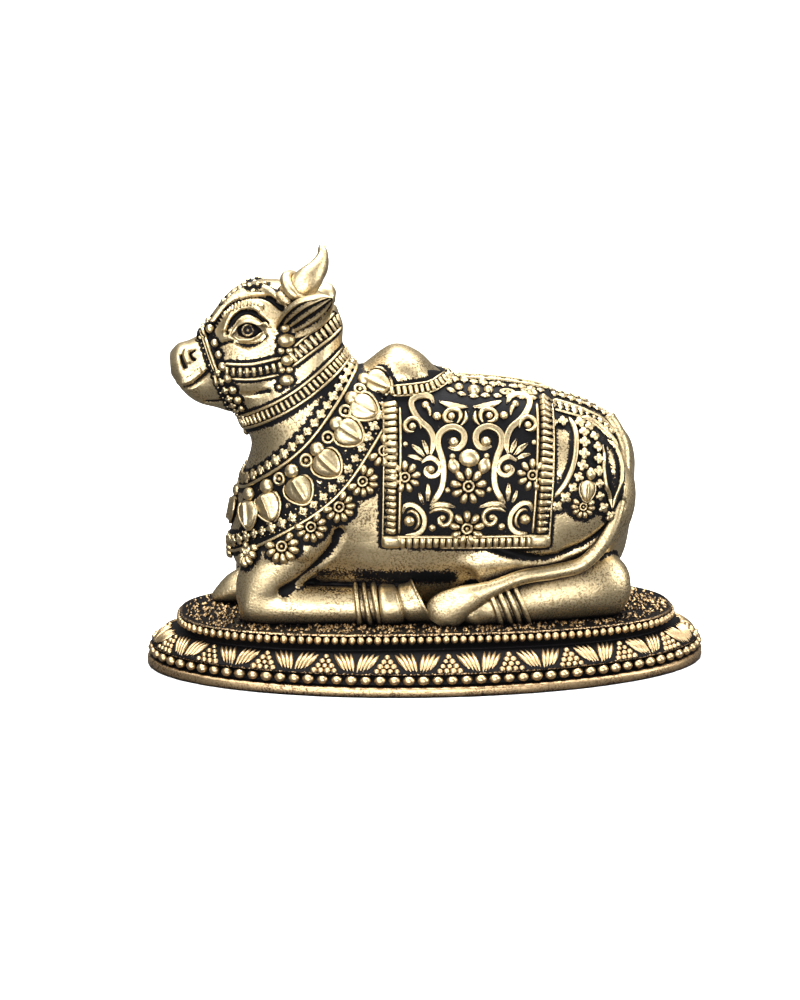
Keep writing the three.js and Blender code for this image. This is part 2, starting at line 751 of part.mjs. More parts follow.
// The figure is cut off flat where it stands on the deck
function figure() {
  const hornsAndEars = [horn, farHorn, ear, farEar].map((rows) => skin(limbRings(rows, slimSides)));
  const dressed = join([
    bareBody,
    ...hornsAndEars,
    skin(limbRings(tail, slimSides)),
    bridle(),
    necklace(),
    cloth(),
    clothPattern(),
    rumpOrnament(),
  ]);
  const nostrils = bothSides([nostril]).map(([place]) => ellipsoid(place, nostrilRadii, 6, 4));
  const lips = [-1, 1].map((side) => ridge(mouth.map(onFlank(side)), mouthRadius));
  const block = new THREE.BoxGeometry(2 * clearOfFigure, 2 * clearOfFigure, clearOfFigure);
  const ground = solid(block.translate(0, 0, footCut - clearOfFigure / 2));
  return dressed.subtract(join([...nostrils, ...lips, ground]));
}

function piece(name, shape, along = 0, lift = 0) {
  const material = new THREE.MeshStandardMaterial({
    color: brassColour,
    metalness: 1,
    roughness: brassRoughness,
  });
  const mesh = new THREE.Mesh(geometryOf(shape).translate(along, 0, lift), material);
  mesh.name = name;
  return mesh;
}

const group = new THREE.Group();
group.add(piece("oval_plinth", plinth()));
group.add(piece("nandi_bull", figure(), figurePlace, deckTop - footCut));

export default group;
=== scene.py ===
# A seated bull in antiqued lost-wax brass, with harness, necklace and saddle cloth, on an oval lotus
# plinth. Shapes are worked out in millimetres. The bull's own origin is near the middle of the plinth
# and footCut below the deck, and toScene takes its points to the frame.
import math

import bpy
import numpy as np
import openvdb
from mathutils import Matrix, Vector
from mathutils.bvhtree import BVHTree
from mathutils.kdtree import KDTree


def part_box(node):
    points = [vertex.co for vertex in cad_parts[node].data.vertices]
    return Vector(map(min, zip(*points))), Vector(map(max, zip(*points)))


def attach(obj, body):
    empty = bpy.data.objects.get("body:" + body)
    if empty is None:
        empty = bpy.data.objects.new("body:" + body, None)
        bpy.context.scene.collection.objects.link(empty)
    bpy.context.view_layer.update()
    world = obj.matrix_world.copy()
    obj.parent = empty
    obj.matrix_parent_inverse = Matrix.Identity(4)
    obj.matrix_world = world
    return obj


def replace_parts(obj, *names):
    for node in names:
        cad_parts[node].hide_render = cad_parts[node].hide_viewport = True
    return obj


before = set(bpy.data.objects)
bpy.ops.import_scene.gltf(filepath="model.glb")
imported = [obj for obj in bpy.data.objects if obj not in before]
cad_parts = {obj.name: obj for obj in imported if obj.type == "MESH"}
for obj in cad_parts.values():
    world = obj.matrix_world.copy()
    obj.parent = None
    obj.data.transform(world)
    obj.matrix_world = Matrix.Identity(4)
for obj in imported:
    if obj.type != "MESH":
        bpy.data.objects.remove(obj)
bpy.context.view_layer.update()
mm = 0.001
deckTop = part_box("oval_plinth")[1].z / mm
footCut = 0.7  # the bull's sections start this far below the deck
figurePlace = -0.4  # the bull sits this much nearer the front of its plinth
scene = bpy.context.scene


# Helpers for meshes
def toScene(points):
    return (np.asarray(points, float) + (figurePlace, 0, deckTop - footCut)) * mm


def meshPiece(name, points, faces, material, rubbed=1.0):
    # rubbed says for each point how far the black was rubbed off, from 0 to 1; on the bull's body it also
    # carries painted shade under the belly and in the hind leg's fold
    mesh = bpy.data.meshes.new(name)
    mesh.from_pydata(np.asarray(points, float).tolist(), [], [list(map(int, f)) for f in faces])
    wear = mesh.attributes.new("rubbed", "FLOAT", "POINT")
    wear.data.foreach_set("value", np.broadcast_to(np.asarray(rubbed, np.float32), len(mesh.vertices)))
    mesh.polygons.foreach_set("use_smooth", [True] * len(mesh.polygons))
    mesh.materials.append(material)
    piece = bpy.data.objects.new(name, mesh)
    scene.collection.objects.link(piece)
    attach(piece, "root")
    return piece


def merged(parts):
    # several (points, faces) as one
    points, faces, start = [], [], 0
    for some, corners in parts:
        points.append(np.asarray(some, float))
        faces += [[c + start for c in face] for face in corners]
        start += len(some)
    return np.concatenate(points), faces


def smoothLine(knots, steps=8, closed=False):
    # a Catmull-Rom line through rows of numbers
    rows = np.asarray(knots, float)
    count = len(rows)
    made = []
    for i in range(count if closed else count - 1):
        around = np.arange(i - 1, i + 3)
        a, b, c, d = rows[around % count if closed else np.clip(around, 0, count - 1)]
        for s in range(steps):
            t = s / steps
            slopeIn, slopeOut = (c - a) / 2, (d - b) / 2
            bend = 2 * b - 2 * c + slopeIn + slopeOut
            made.append(b + t * (slopeIn + t * (3 * (c - b) - 2 * slopeIn - slopeOut + t * bend)))
    if not closed:
        made.append(rows[-1])
    return np.array(made)


def runOf(line):
    # how far along a line each of its points lies
    return np.concatenate([[0], np.cumsum(np.linalg.norm(np.diff(line, axis=0), axis=1))])


def evenly(line, spacing):
    # the same line with points a set distance apart
    line = np.asarray(line, float)
    run = runOf(line)
    count = max(2, int(round(run[-1] / spacing)) + 1)
    at = np.linspace(0, run[-1], count)
    return np.stack([np.interp(at, run, line[:, k]) for k in range(line.shape[1])], axis=1)


def ovalOf(angle, power):
    # an oval's two coordinates at each angle: round at power 2, squarer above it
    return [np.sign(f(angle)) * np.abs(f(angle)) ** (2 / power) for f in (np.cos, np.sin)]


def unit(v):
    return v / np.maximum(np.linalg.norm(v, axis=-1, keepdims=True), 1e-9)


def ringSkin(rings, closed=False, capped=True):
    rings = np.asarray(rings, float)
    rows, count = rings.shape[:2]
    points = rings.reshape(-1, 3)
    faces = []
    for r in range(rows if closed else rows - 1):
        a, b = r * count, ((r + 1) % rows) * count
        faces += [[a + s, a + (s + 1) % count, b + (s + 1) % count, b + s] for s in range(count)]
    if capped and not closed:
        points = np.concatenate([points, [rings[0].mean(0), rings[-1].mean(0)]])
        root, tip, last = rows * count, rows * count + 1, (rows - 1) * count
        faces += [[root, (s + 1) % count, s] for s in range(count)]
        faces += [[tip, last + s, last + (s + 1) % count] for s in range(count)]
    return points, faces


def outward(points, faces):
    # turns the faces of a closed shell so that they point out
    volume = sum(np.dot(points[f[0]], np.cross(points[f[1]], points[f[2]])) for f in faces)
    return (points, faces) if volume > 0 else (points, [f[::-1] for f in faces])


def crossRings(rows, power, count=40, steps=8):
    # sections across the bull, each [lowX, lowZ, highX, highZ, halfWidth]
    angle = np.linspace(0, 2 * math.pi, count, endpoint=False)
    c, d = ovalOf(angle, power)
    rings = []
    for lowX, lowZ, highX, highZ, half in smoothLine(rows, steps):
        x = (lowX + highX) / 2 + d * (highX - lowX) / 2
        z = (lowZ + highZ) / 2 + d * (highZ - lowZ) / 2
        rings.append(np.stack([x, c * half, z], axis=1))
    return rings


def limbRings(rows, count=24, steps=8):
    # sections of a limb, each [x, y, z, sideRadius, upRadius], set across its path
    rows = smoothLine(rows, steps)
    path = rows[:, :3]
    along = unit(np.gradient(path, axis=0))
    side = np.cross([0.0, 0.0, 1.0], along)
    side = unit(np.where(np.linalg.norm(side, axis=1, keepdims=True) < 0.3, [0.0, 1.0, 0.0], side))
    up = unit(np.cross(along, side))
    angle = np.linspace(0, 2 * math.pi, count, endpoint=False)[:, None]
    return [path[i] + np.cos(angle) * side[i] * rows[i, 3] + np.sin(angle) * up[i] * rows[i, 4]
            for i in range(len(rows))]


def bothSides(rows):
    return [rows, [[row[0], -row[1], *row[2:]] for row in rows]]


# Helpers for materials and node trees
def hexColour(text):
    # sRGB hex to the linear colour that Blender's sockets hold
    parts = [int(text[i:i + 2], 16) / 255 for i in (1, 3, 5)]
    return [c / 12.92 if c <= 0.04045 else ((c + 0.055) / 1.055) ** 2.4 for c in parts] + [1.0]


def addNode(tree, kind, inputs=None, **settings):
    node = tree.nodes.new(kind)
    for name, value in settings.items():
        setattr(node, name, value)
    for key, value in (inputs or {}).items():
        if isinstance(value, bpy.types.NodeSocket):
            tree.links.new(value, node.inputs[key])
        else:
            node.inputs[key].default_value = value
    return node


def rampNode(tree, value, stops):
    ramp = addNode(tree, "ShaderNodeValToRGB", {"Fac": value})
    while len(ramp.color_ramp.elements) < len(stops):
        ramp.color_ramp.elements.new(0.5)
    for element, (place, colour) in zip(ramp.color_ramp.elements, stops):
        element.position = place
        element.color = hexColour(colour) if isinstance(colour, str) else [colour] * 3 + [1]
    return ramp.outputs["Color"]


# Materials. Lost-wax cast brass was blackened with liver of sulphur and rubbed back: ground and
# hollows keep a brown-black skin, high places are bare and bright, and the cast skin is pitted. The
# darkening of hollows also paints shade into crevices
brassLook = {
    "worn": "#C9B68F",
    "middle": "#978463",
    "brown": "#3F352F",
    "patina": "#0D0C0E",
    "patinaAndShadeReach": 1.8,  # mm, how wide a hollow fills with patina and painted shade
    "pitSize": 0.30,  # mm, grain of the cast skin
    "cloudSize": 5.5,  # mm, drifts of darker and lighter rubbing
}


def brass(name, look, hollowLow, hollowHigh, pitting, tint=None, grain=1.0, smoothest=0.36):
    material = bpy.data.materials.new(name)
    material.use_nodes = True
    tree = material.node_tree
    tree.nodes.clear()
    place = addNode(tree, "ShaderNodeTexCoord").outputs["Object"]
    wear = addNode(tree, "ShaderNodeAttribute", attribute_name="rubbed").outputs["Fac"]
    # ambient occlusion darkens the colour in hollows: partly the patina that the real brass keeps there,
    # partly painted shade in crevices such as round the folded legs
    hollow = addNode(tree, "ShaderNodeAmbientOcclusion", {"Distance": look["patinaAndShadeReach"] * mm}, samples=8)
    cloud = addNode(tree, "ShaderNodeTexNoise",
                    {"Vector": place, "Scale": 1 / (look["cloudSize"] * mm), "Detail": 6.0,
                     "Roughness": 0.65})
    pits = addNode(tree, "ShaderNodeTexNoise",
                   {"Vector": place, "Scale": 1 / (look["pitSize"] * mm), "Detail": 3.0, "Roughness": 0.6})
    drift = addNode(tree, "ShaderNodeMath", {0: cloud.outputs["Fac"], 1: 0.5}, operation="SUBTRACT")
    spread = addNode(tree, "ShaderNodeMath", {0: drift.outputs[0], 1: 0.45, 2: hollow.outputs["AO"]},
                     operation="MULTIPLY_ADD")
    bare = addNode(tree, "ShaderNodeMapRange",
                   {"Value": spread.outputs[0], "From Min": hollowLow, "From Max": hollowHigh},
                   interpolation_type="SMOOTHSTEP")
    grit = addNode(tree, "ShaderNodeMath", {0: pits.outputs["Fac"], 1: 0.5}, operation="SUBTRACT")
    ragged = addNode(tree, "ShaderNodeMath", {0: grit.outputs[0], 1: 1.6, 2: wear}, operation="MULTIPLY_ADD")
    uneven = addNode(tree, "ShaderNodeMath", {0: drift.outputs[0], 1: 0.6, 2: ragged.outputs[0]},
                     operation="MULTIPLY_ADD")
    reached = addNode(tree, "ShaderNodeMapRange",
                      {"Value": uneven.outputs[0], "From Min": 0.3, "From Max": 0.62},
                      interpolation_type="SMOOTHSTEP")
    # pits hold black, most in the drifts that were rubbed least
    holes = addNode(tree, "ShaderNodeMapRange",
                    {"Value": pits.outputs["Fac"], "From Min": 0.41, "From Max": 0.52},
                    interpolation_type="SMOOTHSTEP")
    pitted = addNode(tree, "ShaderNodeMapRange",
                     {"Value": cloud.outputs["Fac"], "From Min": 0.38, "From Max": 0.66,
                      "To Min": pitting, "To Max": pitting * 0.15})
    kept = addNode(tree, "ShaderNodeMix",
                   {"Factor": pitted.outputs[0], 2: 1.0, 3: holes.outputs[0]}, data_type="FLOAT")
    cleared = addNode(tree, "ShaderNodeMath", {0: bare.outputs[0], 1: reached.outputs[0]},
                      operation="MULTIPLY")
    shown = addNode(tree, "ShaderNodeMath", {0: cleared.outputs[0], 1: kept.outputs[0]},
                    operation="MULTIPLY")
    tone = rampNode(tree, shown.outputs[0],
                    [(0.0, look["patina"]), (0.25, look["brown"]), (0.62, look["middle"]),
                     (1.0, look["worn"])])
    if tint:
        warmth = addNode(tree, "ShaderNodeMix", {"Factor": 0.6, 6: tone, 7: hexColour(tint)},
                         data_type="RGBA", blend_type="MULTIPLY")
        tone = warmth.outputs[2]
    rough = addNode(tree, "ShaderNodeMapRange",
                    {"Value": shown.outputs[0], "To Min": 0.6, "To Max": smoothest})
    metal = addNode(tree, "ShaderNodeMapRange",
                    {"Value": shown.outputs[0], "From Max": 0.4, "To Min": 0.85, "To Max": 1.0})
    bump = addNode(tree, "ShaderNodeBump",
                   {"Strength": 0.45 * grain, "Distance": 0.12 * mm, "Height": pits.outputs["Fac"]})
    surface = addNode(tree, "ShaderNodeBsdfPrincipled",
                      {"Base Color": tone, "Metallic": metal.outputs[0], "Roughness": rough.outputs[0],
                       "Normal": bump.outputs["Normal"]})
    addNode(tree, "ShaderNodeOutputMaterial", {"Surface": surface.outputs["BSDF"]})
    return material


skinBrass = brass("pitted_cast_brass_skin", brassLook, 0.2, 0.75, 0.6)
faceBrass = brass("rubbed_cast_brass_face", brassLook, 0.2, 0.75, 0.5)
ornamentBrass = brass("rubbed_cast_brass_ornament", brassLook, 0.12, 0.62, 0.35, grain=0.8)
plinthBrass = brass("filed_cast_brass_plinth", brassLook, 0.25, 0.8, 0.6, tint="#F4DCCE")
beadBrass = brass("rubbed_cast_brass_beads", brassLook, 0.12, 0.6, 0.25, tint="#FAE6D8", grain=0.8)
deckBrass = brass("blackened_cast_brass_ground", brassLook, 0.2, 0.9, 0.8, tint="#EBD2BC", grain=2.0)
print("materials ready")


def same(count, size):
    return np.tile(np.asarray(size, float), (count, 1))


def crests(points, under, height):
    # how far each point of an ornament stands up from the surface under it, as a share of a height
    rise = []
    for p in points:
        place, normal, _, _ = under.find_nearest(Vector(p))
        rise.append((Vector(p) - place).dot(normal))
    return np.clip(np.array(rise) / height, 0, 1) ** 1.5


# Small cast shapes that are set again and again, each in a box from -1 to 1 with its foot at 0
def dome(sides=10, levels=((1.0, -0.35), (1.0, 0.0), (0.86, 0.5), (0.5, 0.86))):
    turn = np.linspace(0, 2 * math.pi, sides, endpoint=False)
    rings = [np.stack([np.cos(turn) * r, np.sin(turn) * r, np.full(sides, h)], axis=1) for r, h in levels]
    points, faces = ringSkin(rings)
    points[-1, 2] = 1.0
    return outward(points, faces)


def bar(profile=((-1.0, -0.4), (-0.97, 0.3), (-0.7, 0.85), (0, 1.0), (0.7, 0.85), (0.97, 0.3), (1.0, -0.4)),
        halves=(-1.0, -0.84, 0.84, 1.0), full=(0.6, 1.0, 1.0, 0.6)):
    # a rounded bar that lies along x
    rings = [[(x, w * f, h * (0.75 + 0.25 * f)) for w, h in profile] for x, f in zip(halves, full)]
    return outward(*ringSkin(rings))


def bead(sides=12, levels=6):
    # a squat ball, half sunk
    turn = np.linspace(0, 2 * math.pi, sides, endpoint=False)
    rise = np.linspace(-0.25, 0.5, levels) * math.pi
    rings = [np.stack([np.cos(turn) * math.cos(t), np.sin(turn) * math.cos(t),
                       np.full(sides, math.sin(t))], axis=1) for t in rise[:-1]]
    points, faces = ringSkin(rings)
    points[-1] = (0, 0, 1)
    return outward(points, faces)


def block(sides=20):
    # a low cushion with rounded corners
    turn = np.linspace(0, 2 * math.pi, sides, endpoint=False)
    c, s = ovalOf(turn, 4)
    rings = [np.stack([c * r, s * r, np.full(sides, h)], axis=1)
             for r, h in ((1.0, -0.4), (1.0, 0.2), (0.9, 0.7), (0.6, 0.95), (0.3, 1.0))]
    return outward(*ringSkin(rings))


def stroke(sides=10):
    # a low ridge along y that comes to a point at both ends
    steps = (-1, -0.7, -0.35, 0, 0.35, 0.7, 1)
    angle = np.linspace(0, 2 * math.pi, sides, endpoint=False)
    rings = [np.stack([np.cos(angle) * max(1 - y * y, 0.03), np.full(sides, float(y)),
                       np.sin(angle) * max(1 - y * y, 0.03)], axis=1) for y in steps]
    return outward(*ringSkin(rings))


def floret(lobes=4):
    # a knob of four lobes round a bead
    turn = np.linspace(0, 2 * math.pi, lobes * 4, endpoint=False)
    reach = np.tile([1.0, 0.92, 0.55, 0.92], lobes)
    rings = [np.stack([np.cos(turn) * reach * r, np.sin(turn) * reach * r,
                       np.full(len(turn), h)], axis=1)
             for r, h in ((1.0, -0.35), (1.0, 0.3), (0.84, 0.75), (0.5, 0.6), (0.3, 0.85))]
    points, faces = ringSkin(rings)
    points[-1] = (0, 0, 1.0)
    return outward(points, faces)


def leafDome(width, point, sides=14):
    # an almond or pear that points along y, domed, with its root at the origin
    rings = []
    for shrink, height in ((1.0, -0.3), (0.96, 0.25), (0.72, 0.75), (0.36, 1.0)):
        ring = []
        for s in range(sides):
            a = 2 * math.pi * s / sides
            y = 0.5 - 0.5 * math.cos(a)
            half = width * math.sin(a) * (1 - point * (y - 0.5))
            ring.append((half * shrink, 0.5 + (y - 0.5) * shrink, height))
        rings.append(ring)
    points, faces = ringSkin(rings)
    points[-1] = (0, 0.5, 1.0)
    return outward(points, faces)


def ringBead(bore=0.5, sides=12, pupil=0.62):
    # a flat ring with a bead in its bore
    turn = np.linspace(0, 2 * math.pi, sides, endpoint=False)
    rings = [np.stack([np.cos(turn) * r, np.sin(turn) * r, np.full(sides, h)], axis=1)
             for r, h in ((1.0, -0.3), (0.98, 0.5), (0.84, 0.9), (bore + 0.1, 0.85), (bore, 0.2))]
    ring = outward(*ringSkin(rings))
    points, faces = dome(8)
    return merged([ring, (points * (bore * pupil, bore * pupil, 0.95), faces)])


def flower(petals, petal, centre, first=0.0, sweep=2 * math.pi):
    # petals [length, halfWidth, height] round a centre of that radius
    length, half, height = petal
    parts = []
    steps = petals if sweep >= 2 * math.pi - 0.01 else petals - 1
    for i in range(petals):
        a = first + sweep * i / steps
        points, faces = leafDome(0.5, -0.45, 10)
        points = points * (2 * half, length, height) + (0, centre * 0.9, 0)
        c, s = math.cos(a), math.sin(a)
        parts.append((points @ np.array([[c, s, 0], [-s, c, 0], [0, 0, 1]]), faces))
    points, faces = ringBead(0.55, 10)
    parts.append((points * (centre, centre, height), faces))
    points, faces = merged(parts)
    reach = centre * 0.9 + length
    return points / (reach, reach, 1), faces


def daisy():
    # nine petals round a ring
    return flower(9, (0.6, 0.185, 0.3), 0.3)


def templateOf(shape, name="template"):
    points, faces = shape
    mesh = bpy.data.meshes.new(name)
    mesh.from_pydata((np.asarray(points) * mm).tolist(), [], faces)
    mesh.polygons.foreach_set("use_smooth", [True] * len(mesh.polygons))
    holder = bpy.data.objects.new(name, mesh)
    scene.collection.objects.link(holder)
    return holder


# Geometry Nodes: one tree strings a shape along lines, the other sets it on single places
def newTree(name, sockets):
    tree = bpy.data.node_groups.new(name, "GeometryNodeTree")
    for label, kind, value in sockets:
        socket = tree.interface.new_socket(label, in_out="INPUT", socket_type=kind)
        if value is not None:
            socket.default_value = value
    tree.interface.new_socket("Geometry", in_out="OUTPUT", socket_type="NodeSocketGeometry")
    return tree, addNode(tree, "NodeGroupInput").outputs


commonSockets = [
    ("Geometry", "NodeSocketGeometry", None), ("Shape", "NodeSocketObject", None),
    ("Material", "NodeSocketMaterial", None), ("Jitter", "NodeSocketFloat", 0.08),
    ("Seed", "NodeSocketInt", 3), ("Lift", "NodeSocketFloat", 0.0),
]


def facing(tree, turnWith):
    # a turn that takes z to the surface's normal and y along the line
    out = addNode(tree, "GeometryNodeInputNamedAttribute", {"Name": "out"}, data_type="FLOAT_VECTOR")
    rise = addNode(tree, "FunctionNodeAlignRotationToVector", {"Vector": out.outputs["Attribute"]}, axis="Z")
    lay = addNode(tree, "FunctionNodeAlignRotationToVector",
                  {"Rotation": rise.outputs[0], "Vector": turnWith}, axis="Y", pivot_axis="Z")
    return out.outputs["Attribute"], lay.outputs[0]


def endTree(tree, group, points, out, turned, size):
    lift = addNode(tree, "ShaderNodeVectorMath", {0: out, "Scale": group["Lift"]}, operation="SCALE")
    placed = addNode(tree, "GeometryNodeSetPosition", {"Geometry": points, "Offset": lift.outputs[0]})
    least = addNode(tree, "ShaderNodeMath", {0: 1.0, 1: group["Jitter"]}, operation="SUBTRACT")
    most = addNode(tree, "ShaderNodeMath", {0: 1.0, 1: group["Jitter"]}, operation="ADD")
    uneven = addNode(tree, "FunctionNodeRandomValue",
                     {2: least.outputs[0], 3: most.outputs[0], "Seed": group["Seed"]},
                     data_type="FLOAT")
    scale = addNode(tree, "ShaderNodeVectorMath", {0: size, "Scale": uneven.outputs[1]}, operation="SCALE")
    shape = addNode(tree, "GeometryNodeObjectInfo", {"Object": group["Shape"]})
    instances = addNode(tree, "GeometryNodeInstanceOnPoints",
                        {"Points": placed.outputs[0], "Instance": shape.outputs["Geometry"],
                         "Rotation": turned, "Scale": scale.outputs[0]})
    real = addNode(tree, "GeometryNodeRealizeInstances", {"Geometry": instances.outputs[0]})
    coated = addNode(tree, "GeometryNodeSetMaterial",
                     {"Geometry": real.outputs[0], "Material": group["Material"]})
    addNode(tree, "NodeGroupOutput", {"Geometry": coated.outputs[0]})


def rowTree():
    tree, group = newTree("cast row along a line", commonSockets + [
        ("Pitch", "NodeSocketFloat", 0.001), ("Size", "NodeSocketVector", (1, 1, 1))])
    line = addNode(tree, "GeometryNodeMeshToCurve", {"Mesh": group["Geometry"]})
    even = addNode(tree, "GeometryNodeResampleCurve",
                   {"Curve": line.outputs[0], "Length": group["Pitch"]}, mode="LENGTH")
    tangent = addNode(tree, "GeometryNodeInputTangent")
    out, turned = facing(tree, tangent.outputs[0])
    endTree(tree, group, even.outputs[0], out, turned, group["Size"])
    return tree


def studTree():
    tree, group = newTree("cast studs on places", commonSockets)
    up = addNode(tree, "GeometryNodeInputNamedAttribute", {"Name": "up"}, data_type="FLOAT_VECTOR")
    size = addNode(tree, "GeometryNodeInputNamedAttribute", {"Name": "size"}, data_type="FLOAT_VECTOR")
    out, turned = facing(tree, up.outputs["Attribute"])
    points = addNode(tree, "GeometryNodeMeshToPoints", {"Mesh": group["Geometry"]})
    endTree(tree, group, points.outputs[0], out, turned, size.outputs["Attribute"])
    return tree


trees = {"row": rowTree(), "stud": studTree()}


def grown(kind, mesh, shape, inputs):
    # runs a tree on a mesh of places and hands back its points and faces, in millimetres. The piece
    # that they go into may have another brass
    template = templateOf(shape)
    holder = bpy.data.objects.new("places", mesh)
    scene.collection.objects.link(holder)
    modifier = holder.modifiers.new(kind, "NODES")
    modifier.node_group = trees[kind]
    names = {item.name: item.identifier for item in trees[kind].interface.items_tree
             if item.item_type == "SOCKET" and item.in_out == "INPUT"}
    for label, value in {**inputs, "Shape": template, "Material": ornamentBrass}.items():
        modifier[names[label]] = value
    depsgraph = bpy.context.evaluated_depsgraph_get()
    made = bpy.data.meshes.new_from_object(holder.evaluated_get(depsgraph))
    points = np.empty(len(made.vertices) * 3)
    made.vertices.foreach_get("co", points)
    faces = [list(p.vertices) for p in made.polygons]
    for thing in (holder, template):
        bpy.data.objects.remove(thing)
    bpy.data.meshes.remove(made)
    return points.reshape(-1, 3) / mm, faces


def vectors(mesh, name, rows):
    layer = mesh.attributes.new(name, "FLOAT_VECTOR", "POINT")
    layer.data.foreach_set("vector", np.asarray(rows, np.float32).ravel())


def strung(tracks, shape, pitch, size, jitter=0.08, seed=3):
    # a shape in a row along each line; size is [along x, along the line, out]
    points = np.concatenate([t[0] for t in tracks])
    edges, start = [], 0
    for places, _ in tracks:
        edges += [(start + i, start + i + 1) for i in range(len(places) - 1)]
        start += len(places)
    mesh = bpy.data.meshes.new("lines")
    mesh.from_pydata((points * mm).tolist(), edges, [])
    vectors(mesh, "out", np.concatenate([t[1] for t in tracks]))
    inputs = {"Pitch": pitch * mm, "Size": size, "Jitter": jitter, "Seed": seed}
    return grown("row", mesh, shape, inputs)


def studded(places, normals, ups, sizes, shape, lift=0.0, jitter=0.06, seed=5):
    mesh = bpy.data.meshes.new("spots")
    mesh.from_pydata((np.asarray(places) * mm).tolist(), [], [])
    vectors(mesh, "out", normals)
    vectors(mesh, "up", ups)
    vectors(mesh, "size", sizes)
    inputs = {"Lift": lift * mm, "Jitter": jitter, "Seed": seed}
    return grown("stud", mesh, shape, inputs)


# Plinth, in the frame's own millimetres: a filed foot, a row of beads, a sloping lotus band, and the
# deck with its beaded edge
plinth = {
    "halfLength": 42.8, "halfDepth": 21.5, "deckSquareness": 2.5,
    "sides": 480, "rimWaver": 0.06,
    "beadPitch": 2.1, "beadSize": (0.72, 0.9, 0.85), "beadInset": 0.95, "beadHeight": 2.42,
    "bandFoot": (0.75, 3.45), "bandHead": (3.75, 5.55),  # inset and height
    "fans": 22, "fanStart": 0.195, "strokeWidth": 0.41, "strokeRise": 0.6, "dotRadius": 0.5,
    "slats": [(0.03, 0.10, 0.97), (0.075, 0.19, 0.98), (0.125, 0.28, 0.97), (0.18, 0.365, 0.92)],
    "deckBeadPitch": 1.25, "deckBeadSize": (0.66, 0.56, 0.6), "deckBeadInset": 5.15, "deckBeadHeight": 7.3,
    "deckLeaves": 3600, "deckLeafSize": (0.2, 0.66, 0.36),
    "deckHeight": 8.1, "deckReach": (36.8, 15.5), "deckSown": (38, 17),  # half lengths and half depths
}


def plinthLine(inset, height, power=2.0, count=None):
    # an oval of evenly spaced points round the plinth
    count = count or plinth["sides"]
    angle = np.linspace(0, 2 * math.pi, 1441)
    c, s = ovalOf(angle, power)
    drawn = np.stack([(plinth["halfLength"] - inset) * c, (plinth["halfDepth"] - inset) * s,
                      np.full(len(angle), float(height))], axis=1)
    run = runOf(drawn)
    at = np.linspace(0, run[-1], count, endpoint=False)
    return np.stack([np.interp(at, run, drawn[:, k]) for k in range(3)], axis=1)


def plinthBody():
    square, deck = plinth["deckSquareness"], plinth["deckHeight"]
    rows = [
        (0.5, 0.0, 2), (0.12, 0.06, 2), (0.0, 0.3, 2), (0.0, 1.15, 2), (0.1, 1.4, 2), (0.4, 1.5, 2),
        (1.35, 1.5, 2), (1.45, 1.7, 2), (1.45, 3.0, 2), (1.3, 3.2, 2), (0.75, 3.25, 2), (0.62, 3.4, 2),
        (0.8, 3.6, 2), (1.7, 4.25, 2), (2.7, 4.95, 2), (3.6, 5.5, 2), (3.9, 5.6, 2),
        (5.7, 5.6, square), (5.75, 5.8, square), (5.6, 6.0, square), (5.6, 7.75, square), (5.3, 7.8, square),
        (5.1, 7.95, square), (5.1, 8.12, square), (5.3, 8.2, square), (5.6, 8.2, square),
        (5.8, deck, square), (9.0, deck, square), (14.0, deck, square),
    ]
    rings = [plinthLine(*row) for row in rows]
    random = np.random.default_rng(11)
    turn = np.linspace(0, 2 * math.pi, plinth["sides"], endpoint=False)
    waver = sum(np.sin(turn * k + random.uniform(0, 6)) for k in (7, 19, 31, 53)) / 4
    for ring in rings[1:5]:
        ring[:, :2] *= (1 - np.abs(waver) * plinth["rimWaver"] / 30)[:, None]
        ring[:, 2] += waver * plinth["rimWaver"] * (ring[:, 2] > 0.5)
    # the foot's edge and the lip over the deck's beads are filed bright, all else is blackened
    filed = [0.5, 0.7, 0.95, 0.95, 0.9, 0.45, 0.0, 0.0, 0.0, 0.1, 0.5, 0.45] + [0.0] * 9
    filed += [0.1, 0.4, 0.5, 0.45, 0.1, 0.0, 0.0, 0.0]
    points, faces = outward(*ringSkin(rings))
    return points, faces, np.concatenate([np.repeat(filed, plinth["sides"]), [0.3, 0.0]])


def onBand(share, rise):
    # a place on the sloping band, a share of the way round and up it, with its normal and uphill
    inset, level = np.subtract(plinth["bandHead"], plinth["bandFoot"])
    low = plinthLine(*plinth["bandFoot"])
    count = len(low)
    across = np.array([plinth["halfLength"], plinth["halfDepth"]]) - plinth["bandFoot"][0]
    lean = low[:, :2] / across
    way = unit(lean * across[::-1])
    high = low + (0, 0, level)
    high[:, :2] -= way * (inset * np.sum(lean * way, axis=1))[:, None]
    at = (np.asarray(share, float) % 1) * count
    first, part = np.floor(at).astype(int) % count, (at % 1)[:, None]
    foot = low[first] * (1 - part) + low[(first + 1) % count] * part
    upperRow = high[first] * (1 - part) + high[(first + 1) % count] * part
    sideways = unit(low[(first + 1) % count] - low[first])
    uphill = unit(upperRow - foot)
    rise = np.asarray(rise, float)[:, None]
    return foot * (1 - rise) + upperRow * rise, unit(np.cross(sideways, uphill)), uphill


